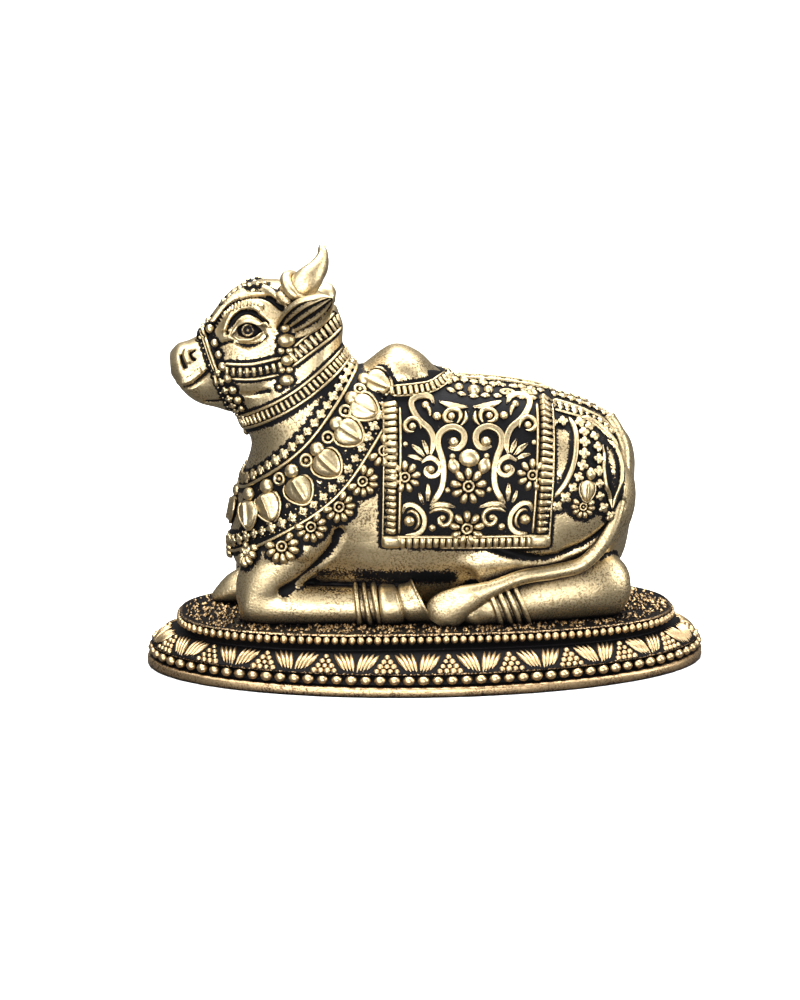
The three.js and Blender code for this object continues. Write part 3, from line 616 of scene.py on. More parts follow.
def lotusBand():
    # slats [root, tip, tip height] that lean apart from each low point, and dots piled between
    fans, first = plinth["fans"], plinth["fanStart"]
    slats = [(i + first + way * root, 0.07 + 0.03 * k, i + first + way * tip, rise)
             for i in range(fans) for way in (-1, 1) for k, (root, tip, rise) in enumerate(plinth["slats"])]
    rootShare, rootRise, tipShare, tipRise = np.array(slats).T
    root, tip = onBand(rootShare / fans, rootRise)[0], onBand(tipShare / fans, tipRise)[0]
    middle, out, _ = onBand((rootShare + tipShare) / 2 / fans, (rootRise + tipRise) / 2)
    half = np.linalg.norm(tip - root, axis=1) / 2
    sizes = np.stack([np.full(len(half), plinth["strokeWidth"]), half * 1.2,
                      np.full(len(half), plinth["strokeRise"])], axis=1)
    parts = [studded(middle, out, unit(tip - root), sizes, stroke(), jitter=0.05)]
    dots = [(i + first + 0.5 + 0.108 * (j - (row - 1) / 2), level)
            for i in range(fans) for row, level in ((4, 0.1), (3, 0.34), (2, 0.58), (1, 0.82))
            for j in range(row)]
    share, rise = np.array(dots).T
    places, out, uphill = onBand(share / fans, rise)
    sizes = same(len(places), [plinth["dotRadius"]] * 3)
    parts.append(studded(places, out, uphill, sizes, dome(8), jitter=0.12))
    return merged(parts)


def ovalRow(inset, height, power, pitch, size, shape):
    line = plinthLine(inset, height, power, 720)
    line = np.concatenate([line, line[:1]])
    direction = unit(np.gradient(line, axis=0))
    direction[0] = direction[-1] = unit(line[1] - line[-2])
    return strung([(line, np.cross(direction, (0, 0, 1.0)))], shape, pitch, size, jitter=0.07)


def deckGround():
    # short raised leaves in all directions, as scratched into the wax
    random = np.random.default_rng(23)
    count, square = plinth["deckLeaves"], plinth["deckSquareness"]
    (sownX, sownY), (reachX, reachY) = plinth["deckSown"], plinth["deckReach"]
    places = []
    while len(places) < count:
        x, y = random.uniform(-sownX, sownX), random.uniform(-sownY, sownY)
        if (abs(x) / reachX) ** square + (abs(y) / reachY) ** square < 1:
            places.append((x, y, plinth["deckHeight"]))
    places = np.array(places)
    swirl = np.sin(places[:, 0] * 0.9) + np.cos(places[:, 1] * 1.3) + random.uniform(-0.7, 0.7, count)
    ups = np.stack([np.cos(swirl * 2), np.sin(swirl * 2), np.zeros(count)], axis=1)
    sizes = np.array(plinth["deckLeafSize"]) * random.uniform(0.7, 1.3, (count, 1))
    chip = (np.array([(-1, 0, -0.4), (0, -1, -0.4), (1, 0, -0.4), (0, 1, -0.4), (0, 0, 1.0)]),
            [[0, 1, 4], [1, 2, 4], [2, 3, 4], [3, 0, 4], [3, 2, 1, 0]])
    return studded(places, np.tile((0, 0, 1.0), (count, 1)), ups, sizes, chip, jitter=0.3)


def plinthPiece(name, shape, material, under=None, height=0.3):
    points, faces, *filed = shape
    rubbed = filed[0] if filed else crests(points, under, height)
    return meshPiece(name, points * mm, faces, material, rubbed)


footShape = plinthBody()
footTree = BVHTree.FromPolygons(footShape[0].tolist(), footShape[1])
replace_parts(plinthPiece("plinth_body", footShape, plinthBrass), "oval_plinth")
plinthPiece("plinth_lotus_band", lotusBand(), beadBrass, footTree, 0.2)
plinthPiece("plinth_beads", merged([
    ovalRow(plinth["beadInset"], plinth["beadHeight"], 2.0, plinth["beadPitch"], plinth["beadSize"], bead()),
    ovalRow(plinth["deckBeadInset"], plinth["deckBeadHeight"], plinth["deckSquareness"],
            plinth["deckBeadPitch"], plinth["deckBeadSize"], bead())]), beadBrass, footTree, 0.35)
plinthPiece("plinth_deck_leaves", deckGround(), deckBrass, footTree, 0.3)
print("plinth ready")


# The bull's body, as sections of its own height
bodyPower, neckPower = 2.3, 2.15
torso = [
    [-24, 9, -25, 24, 5.5], [-20, 6.5, -20, 30, 9.0], [-13, 3.0, -13, 34, 10.2],
    [-5, 1.0, -5, 35.3, 10.7], [3, 1.0, 3, 35.7, 11.0], [11, 1.0, 11, 35.2, 11.2],
    [18, 2.0, 18, 33.9, 11.0], [24, 5.2, 24, 32.2, 10.2], [28, 6.2, 28, 30.0, 8.4],
    [30.2, 8.4, 31.0, 27.0, 5.6], [31.2, 13.5, 32.0, 24.0, 2.6],
]
neck = [
    [-25, 36.5, -13.2, 46.9, 5.2], [-27.6, 31.8, -12.2, 44.4, 6.4], [-27.5, 30.0, -12.2, 41.4, 7.0],
    [-26.0, 27, -11.0, 38.8, 7.7], [-26.0, 24.3, -8, 37.2, 8.6], [-27.6, 20.9, -4, 35, 9.6],
    [-28.6, 17, 0, 30, 10.2], [-29.4, 12.2, -3, 21, 9.8], [-28.8, 8.5, -8, 12, 8.4],
    [-25.8, 5.2, -12, 7, 5.6],
]
head = [
    [-20, 36.5, -14.0, 45.6, 3.4], [-23, 32.8, -14.2, 48.3, 5.4], [-26.6, 31.3, -18.6, 50.5, 6.5],
    [-29.2, 31.4, -24.0, 51.1, 6.5], [-31.2, 32.0, -28.0, 49.4, 5.6], [-32.5, 32.3, -30.9, 46.2, 4.5],
    [-33.5, 32.6, -33.1, 43.4, 4.0], [-34.9, 33.4, -35.0, 42.2, 4.2], [-36.3, 34.8, -36.8, 41.6, 4.1],
    [-37.8, 37.0, -38.0, 40.3, 3.0],
]
hump = [
    [-10.8, 33.2, -10.4, 37.0, 2.6], [-8.4, 32.5, -8.0, 39.2, 4.6], [-4.9, 32, -4.5, 41.3, 5.8],
    [-1.4, 32, -1.0, 40.2, 5.6], [1.8, 32, 1.8, 37.6, 4.2], [4.4, 32.5, 4.2, 35.7, 2.4],
]
thigh = {"centre": (21.4, -6.3, 18.9), "radii": (10.0, 5.8, 10.2)}
upperForeleg = [
    [-13, -7.6, 21, 2.8, 4.4], [-16, -7.9, 17.5, 3.4, 5.6], [-20, -7.9, 12.5, 3.6, 5.2],
    [-24, -7.4, 7.4, 3.5, 4.4], [-25.6, -7.2, 4.2, 3.0, 3.4], [-26.0, -7.1, 2.2, 1.6, 1.8],
]
foreShin = [
    [-28.0, -7.1, 4.1, 1.6, 1.7], [-26.8, -7.2, 3.9, 2.9, 3.5], [-23, -7.5, 3.3, 3.1, 3.5],
    [-16, -8.0, 3.0, 2.8, 3.1], [-10.2, -8.4, 3.0, 2.5, 2.9], [-7.4, -8.6, 3.2, 2.4, 2.7],
    [-4.6, -8.8, 3.3, 2.2, 2.5], [-2.6, -8.9, 3.3, 2.0, 2.2],
]
farToe = [
    [-24, 4.2, 4.2, 3.2, 3.2], [-28.2, 4.2, 3.2, 2.5, 2.6], [-30.8, 4.2, 2.0, 1.6, 1.6],
    [-32.4, 4.2, 1.2, 0.7, 0.7],
]
hindShank = [
    [30.0, -6.2, 5.4, 2.2, 2.8], [28.2, -6.8, 5.3, 3.4, 4.8], [25, -7.4, 4.9, 3.9, 4.8],
    [19, -8.6, 4.2, 3.3, 4.2], [14.6, -9.3, 3.6, 2.8, 3.6], [10.6, -9.9, 3.2, 2.7, 3.4],
    [7.8, -10.1, 3.0, 2.7, 3.3], [5.6, -10.2, 2.6, 3.0, 3.2], [4.4, -10.2, 1.6, 2.0, 1.8],
]
stifle = [
    [17, -6.6, 13, 4.4, 5.6], [11, -8.2, 9.6, 2.9, 4.2], [7.2, -8.8, 7.9, 1.6, 2.2],
]


def ballRings(centre, radii, count=40, steps=24):
    centre, radii = np.array(centre), np.array(radii)
    turn = np.linspace(0, 2 * math.pi, count, endpoint=False)
    rise = np.linspace(-math.pi / 2 + 0.02, math.pi / 2 - 0.02, steps)
    return [centre + radii * np.stack([np.cos(turn) * math.cos(t), np.sin(turn) * math.cos(t),
                                       np.full(count, math.sin(t))], axis=1) for t in rise]


# Each form is laid on a grid of distances, and the forms are melted together there, with a fillet
# of its own at each join
class Casting:
    def __init__(self, voxel, low, high, band=8):
        self.voxel, self.band = voxel, band
        self.first = np.floor(np.array(low) / voxel).astype(int)
        self.shape = tuple(np.ceil(np.array(high) / voxel).astype(int) - self.first)
        self.transform = openvdb.createLinearTransform(voxelSize=voxel)
        self.field = np.full(self.shape, band * voxel, np.float32)

    def distances(self, rings):
        points, faces = outward(*ringSkin(rings))
        quads = np.array([f for f in faces if len(f) == 4], np.uint32)
        triangles = np.array([f for f in faces if len(f) == 3], np.uint32)
        grid = openvdb.FloatGrid.createLevelSetFromPolygons(
            points.astype(np.float32), triangles=triangles, quads=quads,
            transform=self.transform, halfWidth=float(self.band))
        field = np.empty(self.shape, np.float32)
        grid.copyToArray(field, ijk=tuple(int(i) for i in self.first))
        return field

    def melt(self, rings, fillet):
        other = self.distances(rings)
        share = np.clip(0.5 + 0.5 * (other - self.field) / fillet, 0, 1)
        self.field = other * (1 - share) + self.field * share - fillet * share * (1 - share)

    def places(self):
        axes = [(np.arange(n) + self.first[k]) * self.voxel for k, n in enumerate(self.shape)]
        return np.meshgrid(*axes, indexing="ij", sparse=True)

    def keep(self, cut):
        # cut is a distance that is negative where the casting stays
        self.field = np.maximum(self.field, cut.astype(np.float32))

    def surface(self):
        grid = openvdb.FloatGrid(self.band * self.voxel)
        grid.gridClass = openvdb.GridClass.LEVEL_SET
        grid.transform = self.transform
        grid.copyFromArray(np.ascontiguousarray(self.field, np.float32),
                           ijk=tuple(int(i) for i in self.first), tolerance=0.0)
        points, quads = grid.convertToQuads(isovalue=0.0)
        return np.asarray(points, float), np.asarray(quads, int)


def normalsOf(points, quads):
    a, b, c, d = (points[quads[:, k]] for k in range(4))
    face = np.cross(c - a, d - b)
    total = np.zeros_like(points)
    for k in range(4):
        np.add.at(total, quads[:, k], face)
    return unit(total)


def relaxed(points, quads, share=0.5, times=2):
    for _ in range(times):
        total, count = np.zeros_like(points), np.zeros(len(points))
        for k in range(4):
            for other in (quads[:, (k + 1) % 4], quads[:, (k + 3) % 4]):
                np.add.at(total, quads[:, k], points[other])
                np.add.at(count, quads[:, k], 1)
        points = points + share * (total / count[:, None] - points)
    return points


hornBosses = [(-19.4, -4.0, 49.4, 2.3), (-18.8, 3.8, 48.6, 2.3)]
collarPlane = {"front": (-27.6, 30.2), "back": (-12.4, 39.9), "overlap": 0.5}


def aboveCollar(x, z):
    # distance from the middle of the collar, towards the head
    fx, fz = collarPlane["front"]
    bx, bz = collarPlane["back"]
    length = math.hypot(bx - fx, bz - fz)
    return ((z - fz) * (bx - fx) - (x - fx) * (bz - fz)) / length


def castBody():
    body = Casting(0.38, (-36, -15.5, -1), (35, 15.5, 46))
    body.melt(crossRings(torso, bodyPower), 0.5)
    body.melt(crossRings(neck, neckPower), 4.0)
    body.melt(crossRings(hump, 2.0), 0.9)
    for side in (-1, 1):
        x, y, z = thigh["centre"]
        body.melt(ballRings((x, -side * y, z), thigh["radii"]), 1.2)
    for rows, fillet in ((stifle, 2.0), (upperForeleg, 1.2), (foreShin, 0.6), (hindShank, 0.5)):
        for side in bothSides(rows):
            body.melt(limbRings(side), fillet)
    body.melt(limbRings(farToe), 0.5)
    x, y, z = body.places()
    body.keep(aboveCollar(x, z) - collarPlane["overlap"] + 0 * y)
    body.keep(-z + 0 * x + 0 * y)
    return body.surface()


def castHead():
    cast = Casting(0.18, (-40, -9, 26), (-10, 9, 53))
    cast.melt(crossRings(head, bodyPower), 0.3)
    cast.melt(crossRings(neck, neckPower), 1.6)
    for x, y, z, r in hornBosses:
        cast.melt(ballRings((x, y, z), (r, r, r)), 0.5)
    x, y, z = cast.places()
    cast.keep(-aboveCollar(x, z) - collarPlane["overlap"] + 0 * y)
    return cast.surface()


bodyPoints, bodyQuads = castBody()
bodyPoints = relaxed(bodyPoints, bodyQuads)
headPoints, headQuads = castHead()
headPoints = relaxed(headPoints, headQuads)
if np.dot(normalsOf(bodyPoints, bodyQuads)[bodyPoints[:, 2].argmax()], (0, 0, 1)) < 0:
    bodyQuads, headQuads = bodyQuads[:, ::-1], headQuads[:, ::-1]
print("cast", len(bodyQuads), "body faces and", len(headQuads), "head faces")

# The face: lines carved into or raised from the near side, with the far side its mirror. Each is
# [width, depth, knots x, y, z], and a negative depth sinks
faceLines = [
    [0.75, 0.75, [(-33.6, -1.9, 43.0), (-31.6, -2.3, 45.0), (-29.6, -2.2, 47.5), (-27.6, -2.4, 49.1),
                  (-25.4, -2.8, 50.0), (-23.6, -3.6, 50.1), (-22.0, -5.0, 49.3), (-20.3, -6.0, 48.4)]],
    [0.5, -0.85, [(-32.6, -2.8, 43.2), (-31.0, -3.0, 44.9), (-29.2, -3.0, 47.0), (-27.1, -3.4, 48.5),
                   (-24.9, -4.2, 49.2), (-23.2, -5.0, 49.0), (-21.6, -6.0, 48.1), (-20.4, -6.3, 47.4)]],
    [0.85, 0.40, [(-29.6, -4.7, 44.4), (-28.9, -4.4, 46.3), (-27.6, -4.4, 47.6), (-26.1, -4.6, 48.0),
                  (-24.8, -5.2, 47.6)]],
    [0.50, -0.75, [(-29.4, -4.9, 43.9), (-28.7, -4.9, 45.5), (-27.4, -4.8, 46.6), (-26.1, -5.1, 46.9),
                   (-24.8, -5.8, 46.4), (-23.7, -6.0, 45.4)]],
    [1.70, -0.80, [(-27.6, -5.6, 44.2), (-26.4, -6.0, 44.4), (-25.2, -6.2, 44.3)]],
    [0.55, -0.45, [(-28.0, -5.9, 42.6), (-26.4, -6.2, 42.1), (-24.9, -6.3, 42.5), (-23.8, -6.1, 43.4)]],
    [0.50, -0.45, [(-31.2, -4.3, 41.6), (-30.2, -4.8, 42.2), (-28.6, -5.4, 42.7)]],
    [0.42, -0.55, [(-36.4, -2.9, 35.6), (-35.6, -3.4, 35.7), (-34.6, -3.5, 36.1), (-33.5, -3.7, 37.0),
                   (-32.3, -3.9, 38.1)]],
    [0.60, 0.30, [(-36.4, -2.9, 36.5), (-35.0, -3.5, 36.9), (-33.6, -3.7, 37.9)]],
    [0.42, -0.80, [(-36.25, -3.4, 40.4), (-36.0, -3.8, 39.6), (-35.7, -4.0, 38.7)]],
    [0.38, -0.65, [(-34.4, -3.2, 41.1), (-34.95, -3.4, 40.7), (-34.8, -3.7, 40.1), (-34.3, -3.8, 39.8)]],
    [0.55, 0.40, [(-35.5, -3.3, 41.3), (-35.5, -3.7, 40.4), (-35.2, -3.9, 39.6)]],
    [0.50, -0.35, [(-32.6, -2.2, 33.4), (-31.4, -3.0, 33.4), (-30.2, -3.8, 33.8)]],
    [0.60, -0.18, [(-28.2, -5.2, 35.0), (-25.9, -5.3, 34.8), (-23.4, -5.7, 35.3)]],
]


# The body: the haunch's hollow loop, the flank's and the legs' creases, the shoulder's edge
bodyLines = [
    [1.15, -0.9, [(26.3, -9.4, 26.6), (27.0, -10.4, 24.0), (27.1, -10.9, 21.4), (27.0, -11.0, 19.2)]],
    [1.25, -0.7, [(-13.6, -10.0, 15.0), (-14.4, -10.2, 12.6), (-15.8, -10.4, 10.2), (-17.8, -10.6, 7.9),
                   (-21.5, -10.6, 5.9)]],
    [1.4, 0.35, [(-24.0, -8.6, 11.0), (-21.4, -10.0, 12.4), (-18.4, -10.6, 12.0)]],
    [0.9, -0.6, [(9.6, -11.4, 12.4), (13.4, -11.4, 11.0), (18.4, -11.8, 10.2), (23.0, -11.8, 11.8),
                 (26.6, -11.2, 15.0), (28.6, -10.0, 18.4)]],
    [1.5, 0.15, [(5.0, -10.4, 9.6), (8.6, -10.6, 10.2), (12.0, -11.0, 10.0)]],
]

paintedShadeLines = [  # [reach, places] of painted shade under the belly and where the hind leg folds against it
    [2.3, [(-15.5, -9.6, 7.4), (-9.0, -10.0, 7.3), (-2.0, -10.2, 7.1), (3.0, -10.2, 6.9)]],
    [1.1, [(9.6, -11.4, 12.2), (14.0, -11.4, 10.9), (18.4, -11.8, 10.2)]],
]


def carve(points, quads, lines):
    tree = BVHTree.FromPolygons(points.tolist(), quads.tolist())
    for width, depth, knots in lines:
        normals = normalsOf(points, quads)
        track = evenly(smoothLine(knots), 0.25)
        track = np.array([tree.find_nearest(Vector(p))[0] for p in track])
        for side in (1, -1):
            near = np.full(len(points), 9.0)
            for place in track * (1, side, 1):
                near = np.minimum(near, np.linalg.norm(points - place, axis=1))
            points = points + normals * (depth * np.clip(1 - (near / width) ** 2, 0, 1) ** 1.3)[:, None]
    return points


def hollows(points, quads, times, low, high):
    # 1 on open skin, falling to 0 in hollows about as wide as the smoothing reaches
    depth = np.sum((relaxed(points, quads, 0.9, times) - points) * normalsOf(points, quads), axis=1)
    share = np.clip((depth - low) / (high - low), 0, 1)
    return 1 - share * share * (3 - 2 * share)


headPoints = carve(headPoints, headQuads, faceLines)
bodyPoints = carve(bodyPoints, bodyQuads, bodyLines)
print("face and folds carved")

# Horns and tail
horn = [
    [-20.2, -4.1, 48.9, 1.6, 1.8], [-18.6, -4.6, 50.3, 2.0, 2.15], [-17.2, -4.5, 51.8, 1.85, 2.0],
    [-16.0, -4.0, 53.3, 1.35, 1.45], [-15.3, -3.2, 54.8, 0.9, 0.95], [-15.35, -2.6, 56.0, 0.6, 0.6],
    [-15.45, -2.4, 56.5, 0.3, 0.3],
]
farHorn = [
    [-20.0, 4.0, 48.1, 1.6, 1.8], [-18.3, 4.4, 49.5, 1.9, 2.05], [-16.8, 4.3, 50.8, 1.7, 1.85],
    [-15.5, 3.7, 52.2, 1.25, 1.35], [-14.9, 2.9, 53.7, 0.8, 0.85], [-15.0, 2.4, 54.6, 0.5, 0.5],
    [-15.1, 2.3, 55.0, 0.25, 0.25],
]
tail = [
    [27.6, -2.6, 30.2, 1.1, 1.1], [29.4, -5.4, 26.2, 1.1, 1.1], [28.9, -8.2, 20.4, 1.1, 1.1],
    [26.8, -10.2, 14.2, 1.1, 1.1], [23.2, -11.1, 9.9, 1.1, 1.1], [18.8, -11.3, 8.6, 1.1, 1.1],
    [13.6, -11.8, 7.9, 1.1, 1.1], [9.0, -12.4, 6.3, 1.0, 1.3], [5.0, -12.4, 4.6, 1.3, 2.4],
    [2.0, -12.0, 2.7, 1.2, 2.9], [1.0, -11.8, 1.2, 0.8, 1.6],
]

# How the photographed side is seen, with back as the way from the bull to the camera
view = {"turn": -4.0, "rise": 12.5, "distance": 350, "target": (-4.07, 0, 24.8), "lens": 82.95}
turn, rise = math.radians(view["turn"]), math.radians(view["rise"])
back = Vector((math.sin(turn) * math.cos(rise), -math.cos(turn) * math.cos(rise), math.sin(rise)))

# Seats for the dress: where a line from the side meets the bare bull
castTree = BVHTree.FromPolygons(
    np.concatenate([bodyPoints, headPoints]).tolist(),
    [list(map(int, f)) for f in np.concatenate([bodyQuads, headQuads + len(bodyPoints)])])
seenDown = -back


def meet(start, direction, tree=None):
    place, normal, _, _ = (tree or castTree).ray_cast(Vector(start), Vector(direction))
    if place is None:
        place, normal, _, _ = (tree or castTree).find_nearest(Vector(start) + Vector(direction) * 40)
    return np.array(place), np.array(normal)


def steadied(hits, closed=False, times=3):
    # evens out the small steps that the grid leaves in a line's places and normals
    places, normals = (np.array([h[k] for h in hits]) for k in (0, 1))
    for _ in range(times):
        for rows in (places, normals):
            if closed:
                rows[:] = (np.roll(rows, 1, 0) + 2 * rows + np.roll(rows, -1, 0)) / 4
            else:
                rows[1:-1] = (rows[:-2] + 2 * rows[1:-1] + rows[2:]) / 4
    return places, unit(normals)


def onFlank(knots, spacing=0.3, tree=None, curved=True):
    # a line over the near flank: knots are [x, z], or [x, y, z] where the skin turns away
    knots = np.asarray(knots, float)
    line = evenly(smoothLine(knots) if curved else knots, spacing)
    if line.shape[1] == 2:
        return steadied([meet((x, -40, z), (0, 1, 0), tree) for x, z in line])
    return steadied([meet(Vector(p) - seenDown * 30, seenDown, tree) for p in line])


def aroundNeck(front, back, sag=0.0, reach=40, spacing=0.3):
    # a line from the middle of the chest back along the near side, in a plane that holds two
    # points of the profile, and sagging between them
    start, end = (np.array([p[0], 0.0, p[1]]) for p in (front, back))
    centre, forward = (start + end) / 2, unit(start - end)
    down = np.cross([0, 1, 0], forward)
    down = down if down[2] < 0 else -down
    hits = []
    for angle in np.linspace(0, math.pi, 120):
        way = forward * math.cos(angle) + np.array([0, -1, 0]) * math.sin(angle)
        hits.append(meet(centre + down * sag * math.sin(angle) ** 2 + way * reach, -way))
    rows = evenly(np.array([np.concatenate(h) for h in hits]), spacing)
    return steadied([(row[:3], row[3:]) for row in rows])


def acrossOf(track):
    return unit(np.cross(unit(np.gradient(track[0], axis=0)), track[1]))


def shifted(track, sideways=0.0, lift=0.0):
    # the line moved across itself, towards the tail where it runs up the neck, and off the skin
    return track[0] + acrossOf(track) * sideways + track[1] * lift, track[1]


def cut(track, start, end):
    # the part of a line between two shares of its length
    places, normals = track
    run = runOf(places)
    keep = (run >= start * run[-1]) & (run <= end * run[-1])
    return places[keep], normals[keep]


def ridge(track, width, height, sides=8, lift=0.0, ends=0.45, groove=0.0):
    # a rounded ridge along a line, thinner at its ends
    places, normals = track
    across = acrossOf(track)
    run = runOf(places)
    full = np.clip(ends + np.minimum(run, run[-1] - run) / max(width * 2.2, 0.1), ends, 1)
    angle = np.linspace(0, 2 * math.pi, sides, endpoint=False)
    c, s = np.cos(angle)[:, None] * width / 2, np.sin(angle)[:, None] * height
    s = s * (1 - groove * np.exp(-(np.cos(angle) / 0.3) ** 2))[:, None]
    return outward(*ringSkin([places[i] + normals[i] * lift + (across[i] * c + normals[i] * s) * full[i]
                              for i in range(len(places))]))


def bothHands(parts):
    # the near side's parts, and the same for the far side
    points, faces = merged(parts)
    return merged([(points, faces), (points * (1, -1, 1), [f[::-1] for f in faces])])


def spots(knots, tree=None):
    # single places on the near flank, as onFlank takes them
    hits = [meet((k[0], -40, k[1]), (0, 1, 0), tree) if len(k) == 2
            else meet(Vector(k) - seenDown * 30, seenDown, tree) for k in knots]
    return np.array([h[0] for h in hits]), unit(np.array([h[1] for h in hits]))


def hung(track, places):
    # for each place, the way that a pendant hangs from the nearest part of a line
    across = acrossOf(track)
    return np.array([across[np.linalg.norm(track[0] - p, axis=1).argmin()] for p in places])


# Bridle: a noseband, cheek straps to a column of stones, and a headstall behind the ear
bridle = {
    "crest": [(-30.0, -1.0, 48.3), (-28.2, -1.2, 49.5), (-26.2, -1.4, 50.2), (-23.8, -1.5, 50.4)],
    "railWidth": 0.55, "railHeight": 0.42,
    "nose": [(-32.9, 43.9), (-27.7, 30.5), 0.2, 10], "noseBeadOffset": -1.15, "nosePitch": 1.75,
    "cheekUpper": [(-30.0, 39.4), (-27.4, 39.4), (-25.1, 39.6), (-21.6, 40.4)],
    "cheekLower": [(-28.9, 37.3), (-27.0, 37.2), (-25.1, 37.3), (-21.9, 37.8)],
    "ribPitch": 0.92,
    "column": [[-21.0, 44.7, 0.78, 0.75], [-20.8, 42.9, 1.3, 1.02], [-21.6, 41.35, 0.55, 0.55],
               [-20.4, 41.35, 0.58, 0.55], [-20.7, 39.95, 1.05, 0.85], [-21.5, 38.5, 0.58, 0.55],
               [-20.4, 38.5, 0.58, 0.55], [-20.8, 37.0, 1.2, 0.92], [-21.9, 36.0, 0.45, 0.42]],
    "headstallUpper": [(-19.8, -6.4, 41.9), (-18.9, -6.2, 42.6), (-17.0, -5.8, 44.2), (-15.3, -4.8, 45.2),
                       (-13.6, -2.0, 46.2)],
    "headstallLower": [(-19.9, -5.9, 38.9), (-18.0, -6.2, 40.4), (-16.0, -6.0, 41.9), (-14.2, -5.2, 43.2),
                       (-12.6, -3.0, 44.4)],
}
collar = {"line": [(-27.6, 30.0), (-12.1, 40.2), 0.8], "half": 0.98, "ribPitch": 0.82}


def resampled(rows, count):
    places = np.linspace(0, 1, count), np.linspace(0, 1, len(rows))
    return np.stack([np.interp(*places, rows[:, k]) for k in range(3)], 1)


def ladder(upper, lower, pitch, barLength=0.62, height=0.42, rail=(0.5, 0.42)):
    # two rails with ribs across between them
    count = max(len(upper[0]), len(lower[0]))
    (topPlaces, topNormals), (lowPlaces, lowNormals) = (
        [resampled(rows, count) for rows in track] for track in (upper, lower))
    half = np.linalg.norm(topPlaces - lowPlaces, axis=1).mean() / 2
    mid = (topPlaces + lowPlaces) / 2, unit(topNormals + lowNormals)
    return [ridge(upper, *rail), ridge(lower, *rail),
            strung([mid], bar(), pitch, (half * barLength, pitch * 0.34, height))]


def makeBridle():
    rail = (bridle["railWidth"], bridle["railHeight"])
    nose = aroundNeck(*bridle["nose"])
    upper, lower = cut(nose, 0, 0.46), cut(nose, 0.46, 1)
    parts = [ridge(upper, *rail), ridge(shifted(upper, 0.5), rail[0] * 0.55, rail[1] * 0.7)]
    parts.append(strung([shifted(nose, bridle["noseBeadOffset"])], bead(), bridle["nosePitch"],
                        (0.6, 0.68, 0.6)))
    parts.append(strung([lower], floret(), bridle["nosePitch"] * 0.8, (0.6, 0.6, 0.5)))
    parts.append(strung([shifted(nose, 0.9)], dome(6), bridle["nosePitch"] / 2, (0.22, 0.22, 0.25)))
    parts += ladder(onFlank(bridle["cheekUpper"]), onFlank(bridle["cheekLower"]), bridle["ribPitch"], 0.52)
    parts += ladder(onFlank(bridle["headstallUpper"]), onFlank(bridle["headstallLower"]), bridle["ribPitch"])
    stones = np.array(bridle["column"])
    places, normals = spots(stones[:, :2])
    sizes = np.stack([stones[:, 2], stones[:, 3], stones[:, 3] * 0.9], axis=1)
    parts.append(studded(places, normals, same(len(places), (0.1, 0, -1)), sizes, bead()))
    parts.append(strung([onFlank(bridle["crest"])], stroke(), 1.35, (0.42, 0.62, 0.5), jitter=0.15))
    tear, normal = spots([(-31.15, 37.9)])
    parts.append(studded(tear, normal, [(0.05, 0, -1)], [(0.55, 2.0, 0.5)], leafDome(0.62, -0.6)))
    return bothHands(parts)


def makeCollar():
    track = aroundNeck(*collar["line"])
    upper, lower = (shifted(track, s * collar["half"]) for s in (-1, 1))
    return bothHands(ladder(upper, lower, collar["ribPitch"], 0.66, 0.5))


# Necklace: florets and a rail, pendants of a stone and a leaf drop, beads, a rail, and half flowers
necklace = {
    "floretLine": [(-28.04, 20.9), (-11.2, 38.6), 1.3], "floretPitch": 1.6, "floretRadius": 0.86,
    "railLine": [(-28.1, 19.9), (-10.4, 38.2), 1.7],
    "beadLine": [(-28.8, 12.4), (-5.3, 35.4), 3.45], "beadPitch": 1.78, "beadRadius": 0.82,
    "lowRailLine": [(-28.7, 10.9), (-3.9, 34.6), 3.4],
    "fringeLine": [(-29.2, 10.7), (-3.3, 33.9), 4.2],
    "stones": [(-26.4, 19.9), (-23.8, 21.5), (-20.2, 24.1), (-16.5, 27.3), (-13.6, 30.9), (-11.3, 34.3),
               (-9.3, 36.6)],
    "drops": [(-26.6, 16.9), (-23.6, 18.5), (-19.1, 21.3), (-15.0, 25.2), (-11.8, 29.6), (-9.5, 33.0),
              (-7.3, 36.1)],
    "rings": [(-22.0, 22.8), (-18.1, 25.7), (-14.9, 29.0), (-12.3, 32.6), (-10.1, 35.4)],
    "flowers": [(-26.6, 11.5), (-21.8, 13.1), (-17.6, 16.1), (-13.5, 19.0), (-10.0, 22.7), (-6.9, 27.0)],
    "stoneSize": (1.15, 1.1, 0.9), "dropSize": (2.2, 2.15, 0.95), "ringSize": (1.05, 1.05, 0.55),
    "flowerRadius": 2.5, "humpFoot": 34.4,
}


def drop():
    # a leaf drop like a low roof, with a rim along its lower edge and a crest down its middle
    angle = np.linspace(0, 2 * math.pi, 22, endpoint=False)
    y = 0.5 - 0.5 * np.cos(angle)
    x = 0.5 * np.sin(angle) * (1 - 0.62 * (y - 0.5))
    rings = [np.stack([x * wide, 0.5 + (y - 0.5) * long, np.full(22, high)], axis=1)
             for wide, long, high in ((1.0, 1.0, -0.3), (1.0, 1.0, 0.2), (0.86, 0.95, 0.5),
                                      (0.42, 0.86, 0.72), (0.12, 0.8, 0.88), (0.08, 0.78, 1.1),
                                      (0.02, 0.7, 1.14))]
    angle = np.linspace(0.18, 1.82, 15) * math.pi
    y = 0.5 - 0.5 * np.cos(angle)
    rim = np.stack([0.56 * np.sin(angle) * (1 - 0.62 * (y - 0.5)), y * 1.03, np.full(15, 0.22)], axis=1)
    points, faces = merged([outward(*ringSkin(rings)), ridge((rim, same(15, (0, 0, 1.0))), 0.1, 0.3, 5)])
    return (points - (0, 0.5, 0)) * (1.8, 2, 1), faces


def halfFlower():
    # a fan of petals that opens along y, with its centre at the origin
    return flower(8, (0.62, 0.2, 0.34), 0.32, -0.66 * math.pi, 1.32 * math.pi)


